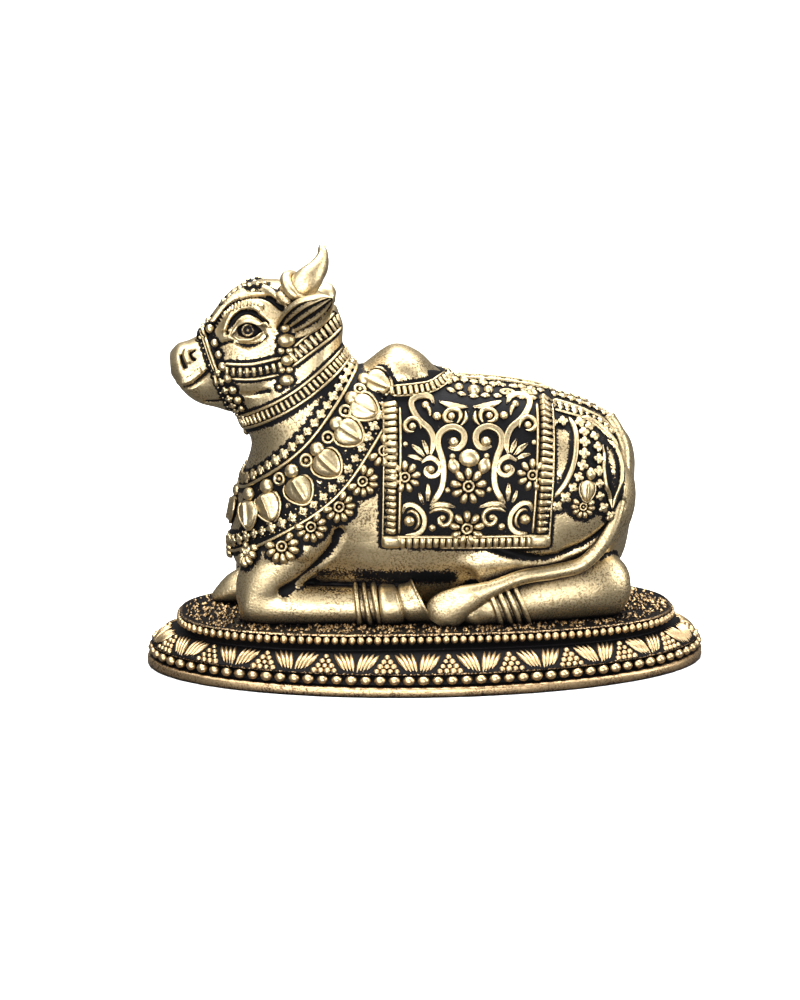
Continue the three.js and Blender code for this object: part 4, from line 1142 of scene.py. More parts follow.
def makeNecklace():
    tracks = {name: aroundNeck(*necklace[name]) for name in
              ("floretLine", "railLine", "beadLine", "lowRailLine", "fringeLine")}
    for name in ("beadLine", "lowRailLine"):
        below = tracks[name][0][:, 2] < necklace["humpFoot"]
        tracks[name] = tuple(rows[below] for rows in tracks[name])
    r = necklace["floretRadius"]
    parts = [strung([tracks["floretLine"]], floret(), necklace["floretPitch"], (r, r, r * 0.7), jitter=0.12)]
    parts.append(strung([shifted(tracks["railLine"], -0.9)], dome(6), necklace["floretPitch"] / 2,
                        (0.2, 0.2, 0.25)))
    parts += [ridge(tracks[name], 0.55, 0.5) for name in ("railLine", "lowRailLine")]
    r = necklace["beadRadius"]
    parts.append(strung([tracks["beadLine"]], floret(), necklace["beadPitch"], (r, r, r * 0.85), jitter=0.1))
    parts.append(strung([shifted(tracks["beadLine"], s) for s in (-0.85, 0.85)], dome(6),
                        necklace["beadPitch"] / 2, (0.2, 0.2, 0.22), jitter=0.2))
    hangings = (("stones", "stoneSize", bead(), 0.1), ("drops", "dropSize", drop(), 0.0),
                ("rings", "ringSize", ringBead(0.55), 0.0))
    for name, size, shape, lift in hangings:
        places, normals = spots(necklace[name])
        down = hung(tracks["railLine"], places)
        parts.append(studded(places, normals, down, same(len(places), necklace[size]), shape, lift))
    places, normals = spots(necklace["flowers"])
    down = hung(tracks["fringeLine"], places)
    r = necklace["flowerRadius"]
    parts.append(studded(places, normals, down, same(len(places), (r, r, r)), halfFlower()))
    made = bothHands(parts)
    # the pendant and the flower in the middle of the chest
    chest = [meet((-60, 0, z), (1, 0, 0)) for z in (19.3, 16.4, 10.9)]
    shapes = ((bead(), necklace["stoneSize"]), (drop(), necklace["dropSize"]),
              (halfFlower(), (2.2, 2.2, 2.2)))
    middle = [studded([p], [n], [(0, 0, -1)], [size], shape) for (p, n), (shape, size) in zip(chest, shapes)]
    return merged([made, *middle])


# Saddle cloth: a sheet cast proud of both flanks, with a ribbed border and scrollwork
cloth = {
    "left": (-7.2, -6.9), "right": (17.7, 18.8),  # x at the hem and over the back
    "middle": 5.6, "hem": 12.3, "proud": 0.55, "axis": 20.0,
    "humpFoot": (11.4, 0.42),  # how far back the front edge runs along the hump, and from what turn
    "border": 2.2, "sideBorder": 2.9, "ribPitch": 0.98, "blockSize": (1.5, 1.0, 0.8),
    "bold": 1.45,  # how much wider the scrollwork is than its drawing
}
clothLines = {  # [away from the middle, height] as seen a little from above, and a width
    "sScroll": [0.72, [-3.1, 27.56], [-1.92, 27.15], [-0.87, 28.1], [-1.0, 29.71], [-2.44, 30.52],
                [-3.88, 29.98], [-4.54, 28.9], [-4.49, 27.56], [-3.88, 25.67], [-3.62, 23.51],
                [-3.88, 21.36], [-4.67, 19.87], [-5.59, 18.6]],
    "baseLeaf": [0.6, [-5.59, 18.12], [-4.67, 18.9], [-3.23, 18.9], [-1.65, 18.39]],
    "lowSpiral": [0.55, [-5.59, 17.6], [-4.54, 18.2], [-3.23, 18.2], [-2.31, 17.31], [-2.7, 15.97],
                  [-3.75, 15.83], [-4.28, 16.78], [-3.62, 17.18]],
    "hook": [0.6, [-9.53, 17.5], [-9.0, 18.9], [-7.69, 18.8], [-6.38, 17.31], [-6.38, 15.43], [-7.43, 14.48],
             [-9.2, 14.35]],
    "hookInner": [0.4, [-8.87, 17.6], [-8.35, 18.1], [-7.56, 17.75], [-7.1, 16.78], [-7.2, 15.8],
                  [-7.8, 15.2]],
    "midSpiral": [0.6, [-6.9, 25.13], [-5.59, 25.94], [-4.15, 24.86], [-4.41, 23.51], [-5.59, 23.11],
                  [-6.38, 24.05], [-5.72, 24.73]],
    "upperScroll": [0.7, [-5.2, 33.9], [-5.72, 35.1], [-7.17, 35.3], [-8.35, 34.7], [-8.35, 33.49],
                    [-7.3, 31.6], [-5.85, 30.25], [-5.2, 28.64], [-5.33, 27.02], [-5.72, 26.21]],
    "upperLeaf": [0.55, [-6.64, 34.03], [-5.85, 33.22], [-5.72, 32.14]],
    "sideSpiral": [0.5, [-7.03, 30.2], [-7.2, 31.4], [-8.4, 31.9], [-9.4, 30.9], [-8.87, 29.85],
                   [-7.9, 29.95]],
    "highSpiral": [0.5, [-1.92, 31.0], [-1.39, 31.87], [-1.65, 32.95], [-2.97, 33.08], [-3.75, 32.14],
                   [-3.36, 31.3], [-2.4, 31.3]],
    "highLeaf": [0.5, [-0.73, 32.9], [-0.6, 31.6], [-1.39, 30.66]],
    "sprayHigh": [0.85, [-8.35, 27.9], [-7.3, 27.1], [-6.38, 26.07]],
    "sprayMiddle": [0.85, [-6.7, 28.6], [-6.2, 27.3], [-5.85, 26.3]],
    "sprayLow": [0.7, [-8.8, 26.3], [-7.69, 26.0], [-6.64, 25.5]],
    "bladeInner": [0.75, [-5.85, 22.1], [-5.8, 20.55], [-5.85, 19.2]],
    "bladeOuter": [0.7, [-7.1, 20.9], [-6.77, 19.74], [-6.4, 18.93]],
    "topLeaf": [0.75, [-4.54, 34.43], [-2.44, 33.62], [-0.34, 33.49]],
}
clothBalls = [[-2.31, 28.23, 0.62], [-3.62, 16.91, 0.42], [-5.46, 24.19, 0.5], [-6.38, 33.89, 0.5],
              [-4.75, 32.14, 0.55], [-2.7, 32.14, 0.5], [-8.22, 30.66, 0.5], [-8.48, 16.51, 0.7],
              [-5.07, 15.43, 0.5], [-2.44, 26.07, 0.4], [-9.2, 28.0, 0.35], [-3.0, 21.0, 0.4]]
clothFlowers = [[0.0, 21.6, 2.85], [0.0, 15.3, 2.75], [-9.2, 23.1, 2.5]]


def clothSeat():
    # the bare flank and back under the cloth, evened out, with its outward directions
    rows, columns = 120, 64
    fall = math.atan2(cloth["axis"] - cloth["hem"], 10.9)
    grid, outs = np.zeros((rows, columns, 3)), np.zeros((rows, columns, 3))
    for i, share in enumerate(np.linspace(0, 1, rows)):
        angle = (math.pi + fall) * (1 - share) - fall * share
        over = math.sin(math.pi * share)
        way = np.array([0, math.cos(angle), math.sin(angle)])
        ends = [side[0] + (side[1] - side[0]) * over for side in (cloth["left"], cloth["right"])]
        run, turned = cloth["humpFoot"]
        ends[0] += run * max(0, 1 - abs(angle - math.pi / 2) / turned) ** 0.8
        for j, x in enumerate(np.linspace(*ends, columns)):
            grid[i, j], outs[i, j] = meet(np.array([x, 0, cloth["axis"]]) + way * 40, -way)
    for _ in range(10):
        for field in (grid, outs):
            field[1:-1] = (field[:-2] + 2 * field[1:-1] + field[2:]) / 4
            field[:, 1:-1] = (field[:, :-2] + 2 * field[:, 1:-1] + field[:, 2:]) / 4
    return grid, unit(outs)


def clothSheet(seat):
    grid, outs = seat
    rows, columns = grid.shape[:2]
    lift = np.full((rows, columns, 1), cloth["proud"])
    lift[[0, -1]] = lift[:, [0, -1]] = cloth["proud"] * 0.55
    points = np.concatenate([(grid + outs * lift).reshape(-1, 3), (grid - outs * 0.6).reshape(-1, 3)])
    under = rows * columns
    faces = []
    for i in range(rows - 1):
        for j in range(columns - 1):
            a, b = i * columns + j, (i + 1) * columns + j
            faces += [[a, a + 1, b + 1, b], [under + b, under + b + 1, under + a + 1, under + a]]
    ring = list(range(columns)) + [i * columns + columns - 1 for i in range(1, rows)]
    ring += [(rows - 1) * columns + j for j in range(columns - 2, -1, -1)]
    ring += [i * columns for i in range(rows - 2, 0, -1)]
    faces += [[b, a, under + a, under + b] for a, b in zip(ring, ring[1:] + ring[:1])]
    return outward(points, faces)


def clothPlace(away, height):
    # a place of the cloth's drawing, from its middle line, as [x, y, z] for onFlank
    # The drawing widens a little and leans back as it rises
    return (cloth["middle"] + away * (1 + 0.002 * (height - 12)) + 0.03 * (height - 20), -10.6, height)


def clothBorder():
    # along both ends from the near hem to the ridge of the back, and along the hem
    inset = 0.25
    left, right, middle, hem = cloth["left"], cloth["right"], cloth["middle"], cloth["hem"] + inset
    wide, side = cloth["border"], cloth["sideBorder"]
    ends = []
    for (hemEnd, backEnd), way in ((left, 1), (right, -1)):
        for step in (inset, side - 0.3):
            knots = [(hemEnd + way * step, hem + 0.2 + (wide if step > 1 else 0) * 0.9)]
            knots += [(hemEnd + way * step + (backEnd - hemEnd) * f, 12.5 + 20.5 * f)
                      for f in (0.3, 0.55, 0.8, 1.0)]
            ends.append(onFlank(knots, tree=clothTree))
    parts = []
    for outer, inner in (ends[:2], ends[2:]):
        parts += [ridge(inner, 0.5, 0.5), ridge(outer, 0.34, 0.3)]
        border = cut(outer, 0.09, 1.0)
        toward = unit(inner[0].mean(0) - outer[0].mean(0))
        track = border[0] + toward * (side - 0.9) / 2, border[1]
        parts.append(strung([track], bar(), cloth["ribPitch"], ((side - 0.8) / 2, 0.46, 0.62), jitter=0.06))
    rows = []
    for step in (0.0, wide - 0.45):
        inner = step * 0.85
        rows.append(onFlank([(left[0] + inset + inner, hem + step), (middle, hem + step - 0.1),
                             (right[0] - inset - inner, hem + step)], tree=clothTree))
    parts += [ridge(rows[1], 0.5, 0.5), ridge(rows[0], 0.34, 0.3)]
    track = onFlank([(left[0] + side + 0.2, hem + 0.85), (middle, hem + 0.75),
                     (right[0] - side - 0.2, hem + 0.85)], tree=clothTree)
    parts.append(strung([track], bar(), cloth["ribPitch"], ((wide - 0.7) / 2, 0.46, 0.62), jitter=0.06))
    corners, normals = spots([(left[0] + 1.5, hem + 0.95), (right[0] - 1.5, hem + 0.95)], clothTree)
    parts.append(studded(corners, normals, same(2, (0, 0, 1)), same(2, cloth["blockSize"]), block()))
    return bothHands(parts)


def clothDrawing():
    parts = []
    for width, *knots in clothLines.values():
        for way in (1, -1):
            track = onFlank([clothPlace(way * a, z) for a, z in knots], 0.24, clothTree)
            wide = width * cloth["bold"]
            parts.append(ridge(track, wide, 0.62, 12, ends=0.3, groove=0.62 if wide > 0.85 else 0))
    balls = [(way * a, z, r) for a, z, r in clothBalls for way in (1, -1)]
    places, normals = spots([clothPlace(a, z) for a, z, _ in balls], clothTree)
    sizes = np.array([[r, r, r] for *_, r in balls]) * 1.25
    parts.append(studded(places, normals, same(len(balls), (0, 0, 1)), sizes, dome()))
    daisies = [(way * a, z, r) for a, z, r in clothFlowers for way in ((1, -1) if a else (1,))]
    places, normals = spots([clothPlace(a, z) for a, z, _ in daisies], clothTree)
    sizes = np.array([[r, r, r] for *_, r in daisies])
    parts.append(studded(places, normals, same(len(daisies), (0, 0, 1)), sizes, daisy(), jitter=0.0))
    places, normals = spots([clothPlace(0, 25.8)], clothTree)
    parts.append(studded(places, normals, [(0, 0, 1)], [(1.65, 1.4, 0.75)], dome(18)))
    tulips = [(-2.2, 24.6), (2.2, 24.6)]
    places, normals = spots([clothPlace(a, z) for a, z in tulips], clothTree)
    parts.append(studded(places, normals, [(-0.35, 0, 1), (0.35, 0, 1)], same(2, (1.0, 1.35, 0.6)),
                         stroke()))
    return bothHands(parts)


# Hump band, spine row and rump ornament
rump = {
    "strings": (("edgeRow", 0.72, 1.35), ("frontString", 0.86, 1.72), ("backString", 0.78, 1.72)),
    "humpBand": [(-5.2, -5.6, 34.9), (-3.6, -5.6, 35.0), (-1.6, -5.4, 35.2), (0.6, -5.0, 35.5),
                 (2.4, -3.4, 36.2), (3.6, -1.6, 36.6)],
    "edgeRow": [(19.4, -0.9, 33.3), (21.7, -0.9, 32.7), (23.5, -1.2, 32.0), (26.0, -0.9, 31.0),
                (27.6, -2.4, 30.0), (29.0, -4.6, 28.4), (30.0, -4.9, 26.8)],
    "reliefUpper": [(18.9, -2.8, 32.9), (21.5, -3.2, 32.2), (24.4, -3.6, 31.1), (26.6, -4.0, 29.9),
                    (28.4, -5.0, 27.8)],
    "reliefLower": [(18.9, -5.0, 31.8), (21.0, -5.2, 31.2), (23.6, -5.6, 30.4), (25.7, -6.0, 29.0),
                    (27.3, -6.6, 27.4)],
    "pair": [(18.5, -7.1, 30.2), (20.0, -6.7, 30.3)],
    "rail": [(21.0, -6.1, 30.9), (21.8, -7.4, 29.0), (21.7, -9.6, 27.2), (21.2, -11.1, 24.9),
             (20.1, -11.5, 22.3), (19.0, -11.6, 20.8), (17.9, -11.7, 19.7)],
    "frontString": [(22.6, -6.4, 30.0), (23.1, -7.6, 28.6), (22.9, -9.4, 27.0), (22.7, -10.5, 25.4),
                    (22.2, -11.4, 23.8), (21.4, -11.6, 22.0), (20.2, -11.8, 20.3), (18.7, -11.9, 18.7)],
    "backString": [(24.0, -6.4, 29.4), (24.8, -8.7, 27.7), (25.0, -9.7, 26.0), (24.9, -10.8, 24.2),
                   (25.0, -11.2, 22.1), (25.0, -11.6, 20.2), (25.5, -11.5, 18.4), (26.7, -10.9, 16.9)],
    "loopInner": [(25.8, -8.6, 27.2), (25.6, -10.0, 25.1), (25.7, -10.8, 22.9), (26.2, -11.1, 20.2),
                  (27.0, -11.1, 17.9)],
    "loopOuter": [(26.6, -7.4, 27.6), (28.0, -7.7, 25.9), (28.5, -9.2, 23.3), (28.0, -10.4, 20.6),
                  (27.0, -11.1, 17.9)],
    "ridgeLine": [(22.6, -5.9, 30.9), (25.2, -6.0, 29.8), (27.1, -6.4, 27.9), (28.4, -6.6, 26.0)],
    "lozenge": (23.7, -11.3, 23.3), "heart": (23.1, -11.9, 20.9), "fan": (22.5, -12.4, 18.7),
    "spineBalls": [[4.9, -2.6, 34.8, 0.75], [7.1, -3.1, 34.4, 0.95], [9.3, -2.9, 34.4, 0.8],
                   [3.4, -2.0, 35.6, 0.6], [5.9, -0.4, 35.6, 0.7], [8.6, -0.4, 35.3, 0.65],
                   [11.0, -1.0, 34.9, 0.6], [13.4, -1.0, 34.5, 0.6], [15.6, -1.3, 34.0, 0.55]],
    "spine": (5.4, 18.4), "spineRails": (-1.55, 1.55),
    "spineRow": [(4.4, -1.4, 35.8), (9.0, -1.6, 35.1), (13.4, -1.8, 34.7), (17.2, -2.0, 34.1)],
    "spineLeaves": [(3.6, -3.6, 34.6), (6.2, -4.6, 33.9), (9.0, -4.4, 33.9), (12.0, -4.6, 33.7),
                    (15.8, -4.3, 33.4)],
    "spineOvals": [[12.1, -3.0, 34.0], [15.4, -2.6, 33.9]],
}


def makeRump():
    parts = []
    humpTrack = onFlank(rump["humpBand"], tree=dressTree)
    parts += [ridge(shifted(humpTrack, s), 0.35, 0.4) for s in (-0.85, 0.75)]
    parts.append(strung([humpTrack], bar(), 0.85, (0.62, 0.34, 0.6)))
    for name, radius, pitch in rump["strings"]:
        parts.append(strung([onFlank(rump[name])], floret(), pitch, (radius, radius, radius * 0.8),
                            jitter=0.12))
    upper, lower = onFlank(rump["reliefUpper"]), onFlank(rump["reliefLower"])
    parts += [ridge(upper, 0.45, 0.4), ridge(lower, 0.45, 0.4)]
    for share in (0.33, 0.66):
        count = min(len(upper[0]), len(lower[0]))
        middle = upper[0][:count] * (1 - share) + lower[0][:count] * share, upper[1][:count]
        parts.append(strung([middle], floret(3), 1.05, (0.52, 0.52, 0.5), jitter=0.3, seed=int(share * 10)))
    parts.append(ridge(onFlank(rump["rail"]), 0.85, 0.65, 12, ends=0.3, groove=0.3))
    parts += [ridge(onFlank(rump[name]), 0.6, 0.7, ends=0.25)
              for name in ("loopInner", "loopOuter", "ridgeLine")]
    places, normals = spots(rump["pair"])
    parts.append(studded(places, normals, same(2, (0, 0, 1)), same(2, (0.8, 0.8, 0.7)), floret()))
    places, normals = spots([rump[name] for name in ("lozenge", "heart", "fan")])
    for k, (shape, size) in enumerate(((stroke(), (0.85, 1.1, 0.8)), (drop(), (1.2, 1.6, 0.8)),
                                       (halfFlower(), (1.9, 1.9, 1.9)))):
        parts.append(studded(places[k:k + 1], normals[k:k + 1], [(-0.1, 0, -1)], [size], shape))
    balls = np.array(rump["spineBalls"])
    places, normals = spots(balls[:, :3], dressTree)
    parts.append(studded(places, normals, same(len(balls), (1, 0, 0)),
                         np.repeat(balls[:, 3:], 3, axis=1), bead()))
    parts.append(strung([onFlank(rump["spineRow"], tree=dressTree)], floret(), 1.35, (0.62, 0.62, 0.5),
                        jitter=0.2))
    parts.append(strung([onFlank(rump["spineLeaves"], tree=dressTree)], stroke(), 1.7, (0.42, 0.8, 0.45),
                        jitter=0.15))
    places, normals = spots(rump["spineOvals"], dressTree)
    parts.append(studded(places, normals, same(2, (1, 0, -0.1)), same(2, (0.7, 1.3, 0.5)), ringBead()))
    track = steadied([meet((x, 0, 60), (0, 0, -1), dressTree) for x in np.arange(*rump["spine"], 0.3)])
    middle = [strung([track], daisy(), 2.6, (1.15, 1.15, 1.1), jitter=0.0)]
    middle += [ridge(shifted(track, step), 0.45, 0.45) for step in rump["spineRails"]]
    return merged([bothHands(parts), *middle])


# Legs: bangles above the hooves, and the cuff and flared edge of each fore hoof
bangles = {
    "fore": {"limb": foreShin, "at": [0.69, 0.745, 0.8], "proud": 0.85, "slant": -0.12},
    "hind": {"limb": hindShank, "at": [0.645, 0.693, 0.741, 0.789], "proud": 0.8, "slant": 0.32},
}
foreHoofSide = -8.8  # y of its middle
foreHoof = [  # [x, z, halfHeight, halfDepth, lean] of sections from the bangles to the sole
    [-7.6, 3.1, 2.4, 2.4, 4], [-7.3, 3.1, 3.0, 2.9, 5], [-6.6, 3.15, 3.35, 3.15, 7],
    [-5.4, 3.2, 3.3, 3.1, 10], [-4.5, 3.3, 3.15, 3.0, 13], [-4.2, 3.3, 2.7, 2.7, 14],
    [-3.9, 3.35, 2.95, 2.9, 15], [-3.4, 3.4, 3.2, 3.05, 17], [-2.4, 3.5, 3.35, 3.1, 21],
    [-1.5, 3.6, 3.6, 3.2, 24], [-1.0, 3.7, 4.05, 3.35, 26], [-0.75, 3.7, 4.0, 3.3, 27],
    [-0.9, 3.65, 3.4, 2.9, 26], [-1.8, 3.5, 2.4, 2.2, 24],
]


def bangleRing(rings, at, halfWidth, proud, slant):
    # a band round a limb, at a share of the limb's length, leaning by its slant
    rings = np.asarray(rings)
    middle = rings.mean(1)
    run = runOf(middle)
    direction = unit(np.gradient(middle, axis=0))[len(run) // 2]
    made = []
    for step, height in ((-1.0, -0.6), (-0.8, 0.5), (-0.3, 1.0), (0.3, 1.0), (0.8, 0.5), (1.0, -0.6)):
        spot = np.clip(at * run[-1] + step * halfWidth, 0, run[-1] * 0.999)
        k = int(np.searchsorted(run, spot, side="right")) - 1
        f = (spot - run[k]) / (run[k + 1] - run[k])
        centre = middle[k] * (1 - f) + middle[k + 1] * f
        out = rings[k] * (1 - f) + rings[k + 1] * f - centre
        reach = np.linalg.norm(out, axis=1, keepdims=True)
        made.append(centre + out * (1 + proud * height / reach) + slant * out[:, 2:3] * direction)
    return outward(*ringSkin(made))


def makeBangles():
    parts = []
    for kind in bangles.values():
        for rows in bothSides(kind["limb"]):
            rings = limbRings(rows, 40)
            parts += [bangleRing(rings, at, 0.5, kind["proud"], kind["slant"]) for at in kind["at"]]
    return merged(parts)


def makeHooves():
    rows = smoothLine(foreHoof, 4)
    turn = np.linspace(0, 2 * math.pi, 48, endpoint=False)
    rings = []
    for x, z, high, deep, lean in rows:
        up = np.array([-math.sin(math.radians(lean)), 0, math.cos(math.radians(lean))])
        ring = np.array([x, foreHoofSide, z]) + np.cos(turn)[:, None] * (0, deep, 0)
        ring = ring + np.sin(turn)[:, None] * high * up
        ring[:, 2] = np.maximum(ring[:, 2], 0.02)
        rings.append(ring)
    return bothHands([outward(*ringSkin(rings))])


# Ears: a cupped leaf with a rolled rim and three folds inside. Rows are [x, y, z, half width]
earNear = [
    [-21.2, -5.6, 44.0, 1.5], [-19.8, -6.8, 45.3, 2.6], [-18.0, -7.9, 46.8, 3.05],
    [-16.3, -8.8, 48.0, 2.55], [-14.9, -9.5, 49.0, 1.4], [-14.2, -9.8, 49.4, 0.3],
]
earFar = [
    [-20.6, 5.0, 44.0, 1.2], [-18.8, 6.4, 45.2, 2.2], [-16.6, 7.6, 46.6, 2.6],
    [-15.0, 8.4, 47.4, 2.2], [-13.9, 8.9, 48.1, 1.7], [-13.2, 9.2, 48.4, 0.9],
]


def earShell(rows, side):
    rows = smoothLine(rows, 7)
    path = rows[:, :3]
    forward = unit(np.gradient(path, axis=0))
    wide = unit(np.cross(forward, np.cross((-0.52, 0.42 * side, 0.74), forward)))
    outside = unit(np.cross(forward, wide)) * (-1 if side > 0 else 1)
    across = np.concatenate([np.linspace(-1, 1, 45), np.linspace(1, -1, 13)[1:-1]])
    front = np.arange(len(across)) < 45
    rings, wear = [], []
    for i, (*_, half) in enumerate(rows):
        t = i / (len(rows) - 1)
        swell = math.sin(math.pi * min(max(t * 1.05, 0), 1)) ** 0.6
        s = across
        rim = 0.75 * np.exp(-((np.abs(s) - 0.86) / 0.15) ** 2)
        folds = sum(0.55 * np.exp(-((s - place) / 0.11) ** 2) for place in (-0.48, -0.04, 0.4))
        hollow = -0.45 * (1 - s ** 2)
        depth = np.where(front, (hollow + rim + folds * swell) * min(half / 2.0, 1),
                         -1.35 * np.sqrt(np.clip(1 - s ** 2, 0, 1)) * min(half / 2.0, 1) - 0.05)
        rings.append(path[i] + wide[i] * (s * half)[:, None] + outside[i] * depth[:, None])
        high = rim / 0.4 + folds * swell / 0.3 + (np.abs(s) > 0.85)
        wear.append(np.where(front, np.clip(high - 0.1, 0, 1), 1.0))
    points, faces = outward(*ringSkin(rings))
    return points, faces, np.concatenate([np.ravel(wear), [1.0, 1.0]])


hornRolls = {  # centre, direction, half width and half height, radius of the roll
    "horn_collar_near": [(-19.1, -4.5, 50.4), (0.62, -0.42, 0.66), (2.1, 2.2), 0.85],
    "horn_collar_far": [(-18.8, 4.3, 49.6), (0.62, 0.42, 0.66), (2.0, 2.1), 0.8],
}


def hornCollar(centre, direction, radius, tube):
    # a thick roll round the root of a horn
    centre, direction = np.array(centre), unit(np.array(direction))
    side = unit(np.cross(direction, (0, 0, 1.0)))
    up = np.cross(side, direction)
    rings = []
    for a in np.linspace(0, 2 * math.pi, 36, endpoint=False):
        out = side * math.cos(a) * radius[0] + up * math.sin(a) * radius[1]
        spokes = [centre + out + unit(out) * math.cos(b) * tube + direction * math.sin(b) * tube
                  for b in np.linspace(0, 2 * math.pi, 14, endpoint=False)]
        rings.append(spokes)
    return outward(*ringSkin(rings, closed=True))


# Eyes: lids round an almond, and an iris ring round a bead
eye = {
    "upperLid": [(-28.9, -5.2, 43.5), (-28.0, -5.3, 45.0), (-26.8, -5.5, 45.75), (-25.6, -5.8, 45.75),
                 (-24.3, -6.0, 45.2), (-22.9, -6.1, 44.7)],
    "lowerLid": [(-28.6, -5.4, 43.3), (-27.5, -5.8, 42.9), (-26.2, -6.1, 42.8), (-25.0, -6.2, 43.3),
                 (-24.0, -6.1, 44.2)],
    "centre": (-26.3, -6.0, 44.35), "ball": (1.75, 1.2, 0.75), "iris": 0.95,
    "brow": [(-30.9, -4.3, 44.9), (-29.7, -4.2, 46.5), (-28.1, -4.3, 47.6), (-26.2, -4.6, 48.2),
             (-24.8, -5.1, 48.2)],
}


def makeEyes():
    place, normal = spots([eye["centre"]])
    r = eye["iris"]
    brow = onFlank(eye["brow"], 0.2)
    iris = studded(place + normal * 0.5, normal, [(0, 0, 1)], [(r, r, r * 0.45)], ringBead(0.68, 24, 0.42),
                   jitter=0.0)
    parts = [ridge(onFlank(eye["upperLid"], 0.2), 0.55, 0.6, lift=0.1, ends=0.35),
             ridge(onFlank(eye["lowerLid"], 0.2), 0.42, 0.5, lift=0.05, ends=0.35),
             strung([brow], bar(), 0.55, (0.5, 0.15, 0.3), jitter=0.15)]
    bare = merged(parts)
    ball = studded(place, normal, [(0, 0, 1)], [eye["ball"]], dome(20), jitter=0.0)
    points, faces = merged([bare, ball, iris])
    # the eyeball keeps its black, the ring of the iris is half rubbed, and the lids are bare
    wear = np.repeat([1.0, 0.0, 0.47], [len(bare[0]), len(ball[0]), len(iris[0])])
    return (*merged([(points, faces), (points * (1, -1, 1), [f[::-1] for f in faces])]), np.tile(wear, 2))


sheetPoints, sheetFaces = clothSheet(clothSeat())
clothTree = BVHTree.FromPolygons(sheetPoints.tolist(), sheetFaces)
castPoints, castFaces = merged([(bodyPoints, bodyQuads.tolist()), (headPoints, headQuads.tolist()),
                                (sheetPoints, sheetFaces)])
dressTree = BVHTree.FromPolygons(castPoints.tolist(), castFaces)
dress = {
    "cloth_scrollwork": clothDrawing, "cloth_border": clothBorder,
    "bridle": makeBridle, "neck_collar": makeCollar, "necklace": makeNecklace, "rump_ornament": makeRump,
}
dressPoints = []
for name, make in dress.items():
    points, faces = make()
    meshPiece(name, toScene(points), faces, ornamentBrass, rubbed=crests(points, dressTree, 0.3))
    dressPoints.append(points)
    print(name, len(faces), "faces")


# The black stays on the skin round each ornament
def openSkin(points, reach):
    places = np.concatenate(dressPoints)
    near = KDTree(len(places))
    for k, p in enumerate(places):
        near.insert(p, k)
    near.balance()
    gap = np.array([near.find(p)[2] for p in points])
    share = np.clip((gap - reach[0]) / (reach[1] - reach[0]), 0, 1)
    return share * share * (3 - 2 * share)


def paintedShadeAlong(points, lines):
    # 0 along lines of painted shade, on both sides of the bull, rising to 1 beyond their reach
    kept = np.ones(len(points))
    nearSide = np.stack([points[:, 0], -np.abs(points[:, 1]), points[:, 2]], axis=1)
    for reach, knots in lines:
        for place in evenly(smoothLine(knots), 0.4):
            near = np.linalg.norm(nearSide - place, axis=1) / reach
            kept = np.minimum(kept, np.clip(near, 0.5, 1) * 2 - 1)
    return kept


bodyWearAndShade = openSkin(bodyPoints, (0.3, 1.1)) * hollows(bodyPoints, bodyQuads, 10, 0.02, 0.13)
# the body's rubbing is also lowered along the lines of painted shade under the belly and in the hind leg's
# fold
bodyWearAndShade = bodyWearAndShade * paintedShadeAlong(bodyPoints, paintedShadeLines)
headWear = openSkin(headPoints, (0.2, 0.75)) * hollows(headPoints, headQuads, 8, 0.01, 0.07)
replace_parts(meshPiece("bull_body", toScene(bodyPoints), bodyQuads, skinBrass, rubbed=bodyWearAndShade), "nandi_bull")
meshPiece("bull_head", toScene(headPoints), headQuads, faceBrass, rubbed=headWear)
meshPiece("saddle_cloth", toScene(sheetPoints), sheetFaces, skinBrass, rubbed=0.0)
for name, make in (("bangles", makeBangles), ("hooves", makeHooves)):
    points, faces = make()
    meshPiece(name, toScene(points), faces, faceBrass, rubbed=crests(points, dressTree, 0.25))
points, faces, wear = makeEyes()
meshPiece("eyes", toScene(points), faces, ornamentBrass, rubbed=wear)
for name, rows in (("horn_near", horn), ("horn_far", farHorn), ("tail", tail)):
    points, faces = outward(*ringSkin(limbRings(rows, 28, 10)))
    meshPiece(name, toScene(points), faces, skinBrass if name == "tail" else faceBrass)
for name, shape in hornRolls.items():
    points, faces = hornCollar(*shape)
    meshPiece(name, toScene(points), faces, faceBrass)
for name, rows, side in (("ear_near", earNear, -1), ("ear_far", earFar, 1)):
    points, faces, wear = earShell(rows, side)
    meshPiece(name, toScene(points), faces, ornamentBrass, rubbed=wear)
print("dress ready")

# Camera, light and floor
camera = bpy.data.objects.new("camera", bpy.data.cameras.new("camera"))
camera.data.lens = view["lens"]
camera.data.clip_start = 0.01
camera.location = (Vector(view["target"]) + back * view["distance"]) * mm
camera.rotation_mode = "QUATERNION"
camera.rotation_quaternion = (-back).to_track_quat("-Z", "Y")
scene.collection.objects.link(camera)
scene.camera = camera


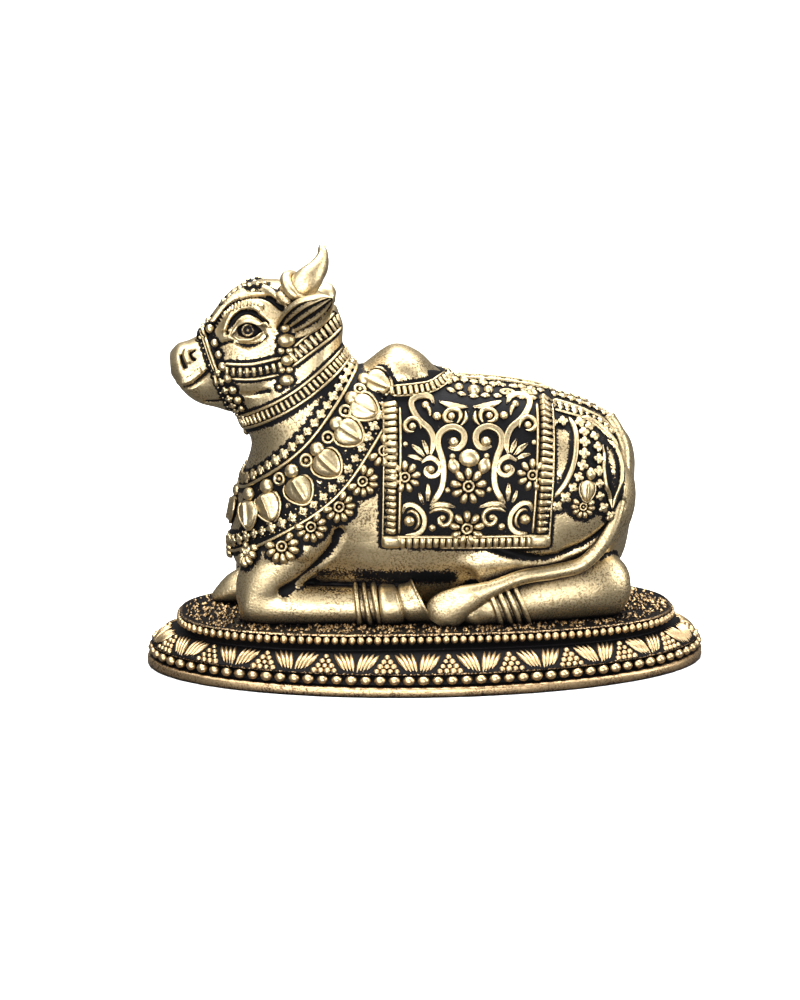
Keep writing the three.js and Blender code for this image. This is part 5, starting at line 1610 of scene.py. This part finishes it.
def softbox(name, place, target, size, power, colour="#FFFFFF"):
    lamp = bpy.data.lights.new(name, "AREA")
    lamp.shape = "RECTANGLE"
    lamp.size, lamp.size_y = size[0] * mm, size[1] * mm
    lamp.energy = power
    lamp.color = hexColour(colour)[:3]
    holder = bpy.data.objects.new(name, lamp)
    holder.location = Vector(place) * mm
    holder.rotation_mode = "QUATERNION"
    holder.rotation_quaternion = (Vector(target) - Vector(place)).to_track_quat("-Z", "Y")
    scene.collection.objects.link(holder)


softbox("key_top_left", (-150, -170, 230), (-5, 0, 25), (190, 150), 0.7)
softbox("strip_right", (230, -90, 120), (0, 0, 25), (40, 200), 0.55)
softbox("front_fill", (-60, -330, 40), (0, 0, 22), (320, 170), 1.7)
softbox("top_back", (20, 90, 260), (0, 0, 20), (240, 90), 0.7)
softbox("paper_wash", (0, 60, 620), (0, 520, 200), (700, 300), 12)
world = bpy.data.worlds.new("dim_room")
world.use_nodes = True
world.node_tree.nodes["Background"].inputs["Color"].default_value = hexColour("#9A9B9E")
world.node_tree.nodes["Background"].inputs["Strength"].default_value = 0.62
scene.world = world
scene.view_settings.view_transform = "Standard"

# White paper sweep, flat under the plinth and curved up behind it
paper = bpy.data.materials.new("white_paper_sweep")
paper.use_nodes = True
paper.node_tree.nodes["Principled BSDF"].inputs["Base Color"].default_value = hexColour("#FAFAF9")
paper.node_tree.nodes["Principled BSDF"].inputs["Roughness"].default_value = 0.95
sweep = {"near": -900, "far": 420, "bend": 260, "height": 900, "half": 900, "steps": 24}
profile = [(sweep["near"], 0.0), (0.0, 0.0), (sweep["far"], 0.0)]
for k in range(1, sweep["steps"] + 1):
    a = math.pi / 2 * k / sweep["steps"]
    profile.append((sweep["far"] + sweep["bend"] * math.sin(a), sweep["bend"] * (1 - math.cos(a))))
profile.append((sweep["far"] + sweep["bend"], sweep["height"]))
paperPoints = [(x * mm, y * mm, z * mm) for y, z in profile for x in (-sweep["half"], sweep["half"])]
paperMesh = bpy.data.meshes.new("paper_sweep")
paperFaces = [(2 * i, 2 * i + 1, 2 * i + 3, 2 * i + 2) for i in range(len(profile) - 1)]
paperMesh.from_pydata(paperPoints, [], paperFaces)
paperMesh.polygons.foreach_set("use_smooth", [True] * len(paperMesh.polygons))
paperMesh.materials.append(paper)
backdrop = bpy.data.objects.new("paper_sweep", paperMesh)
scene.collection.objects.link(backdrop)
backdrop.visible_glossy = False  # flags keep the white paper out of the brass
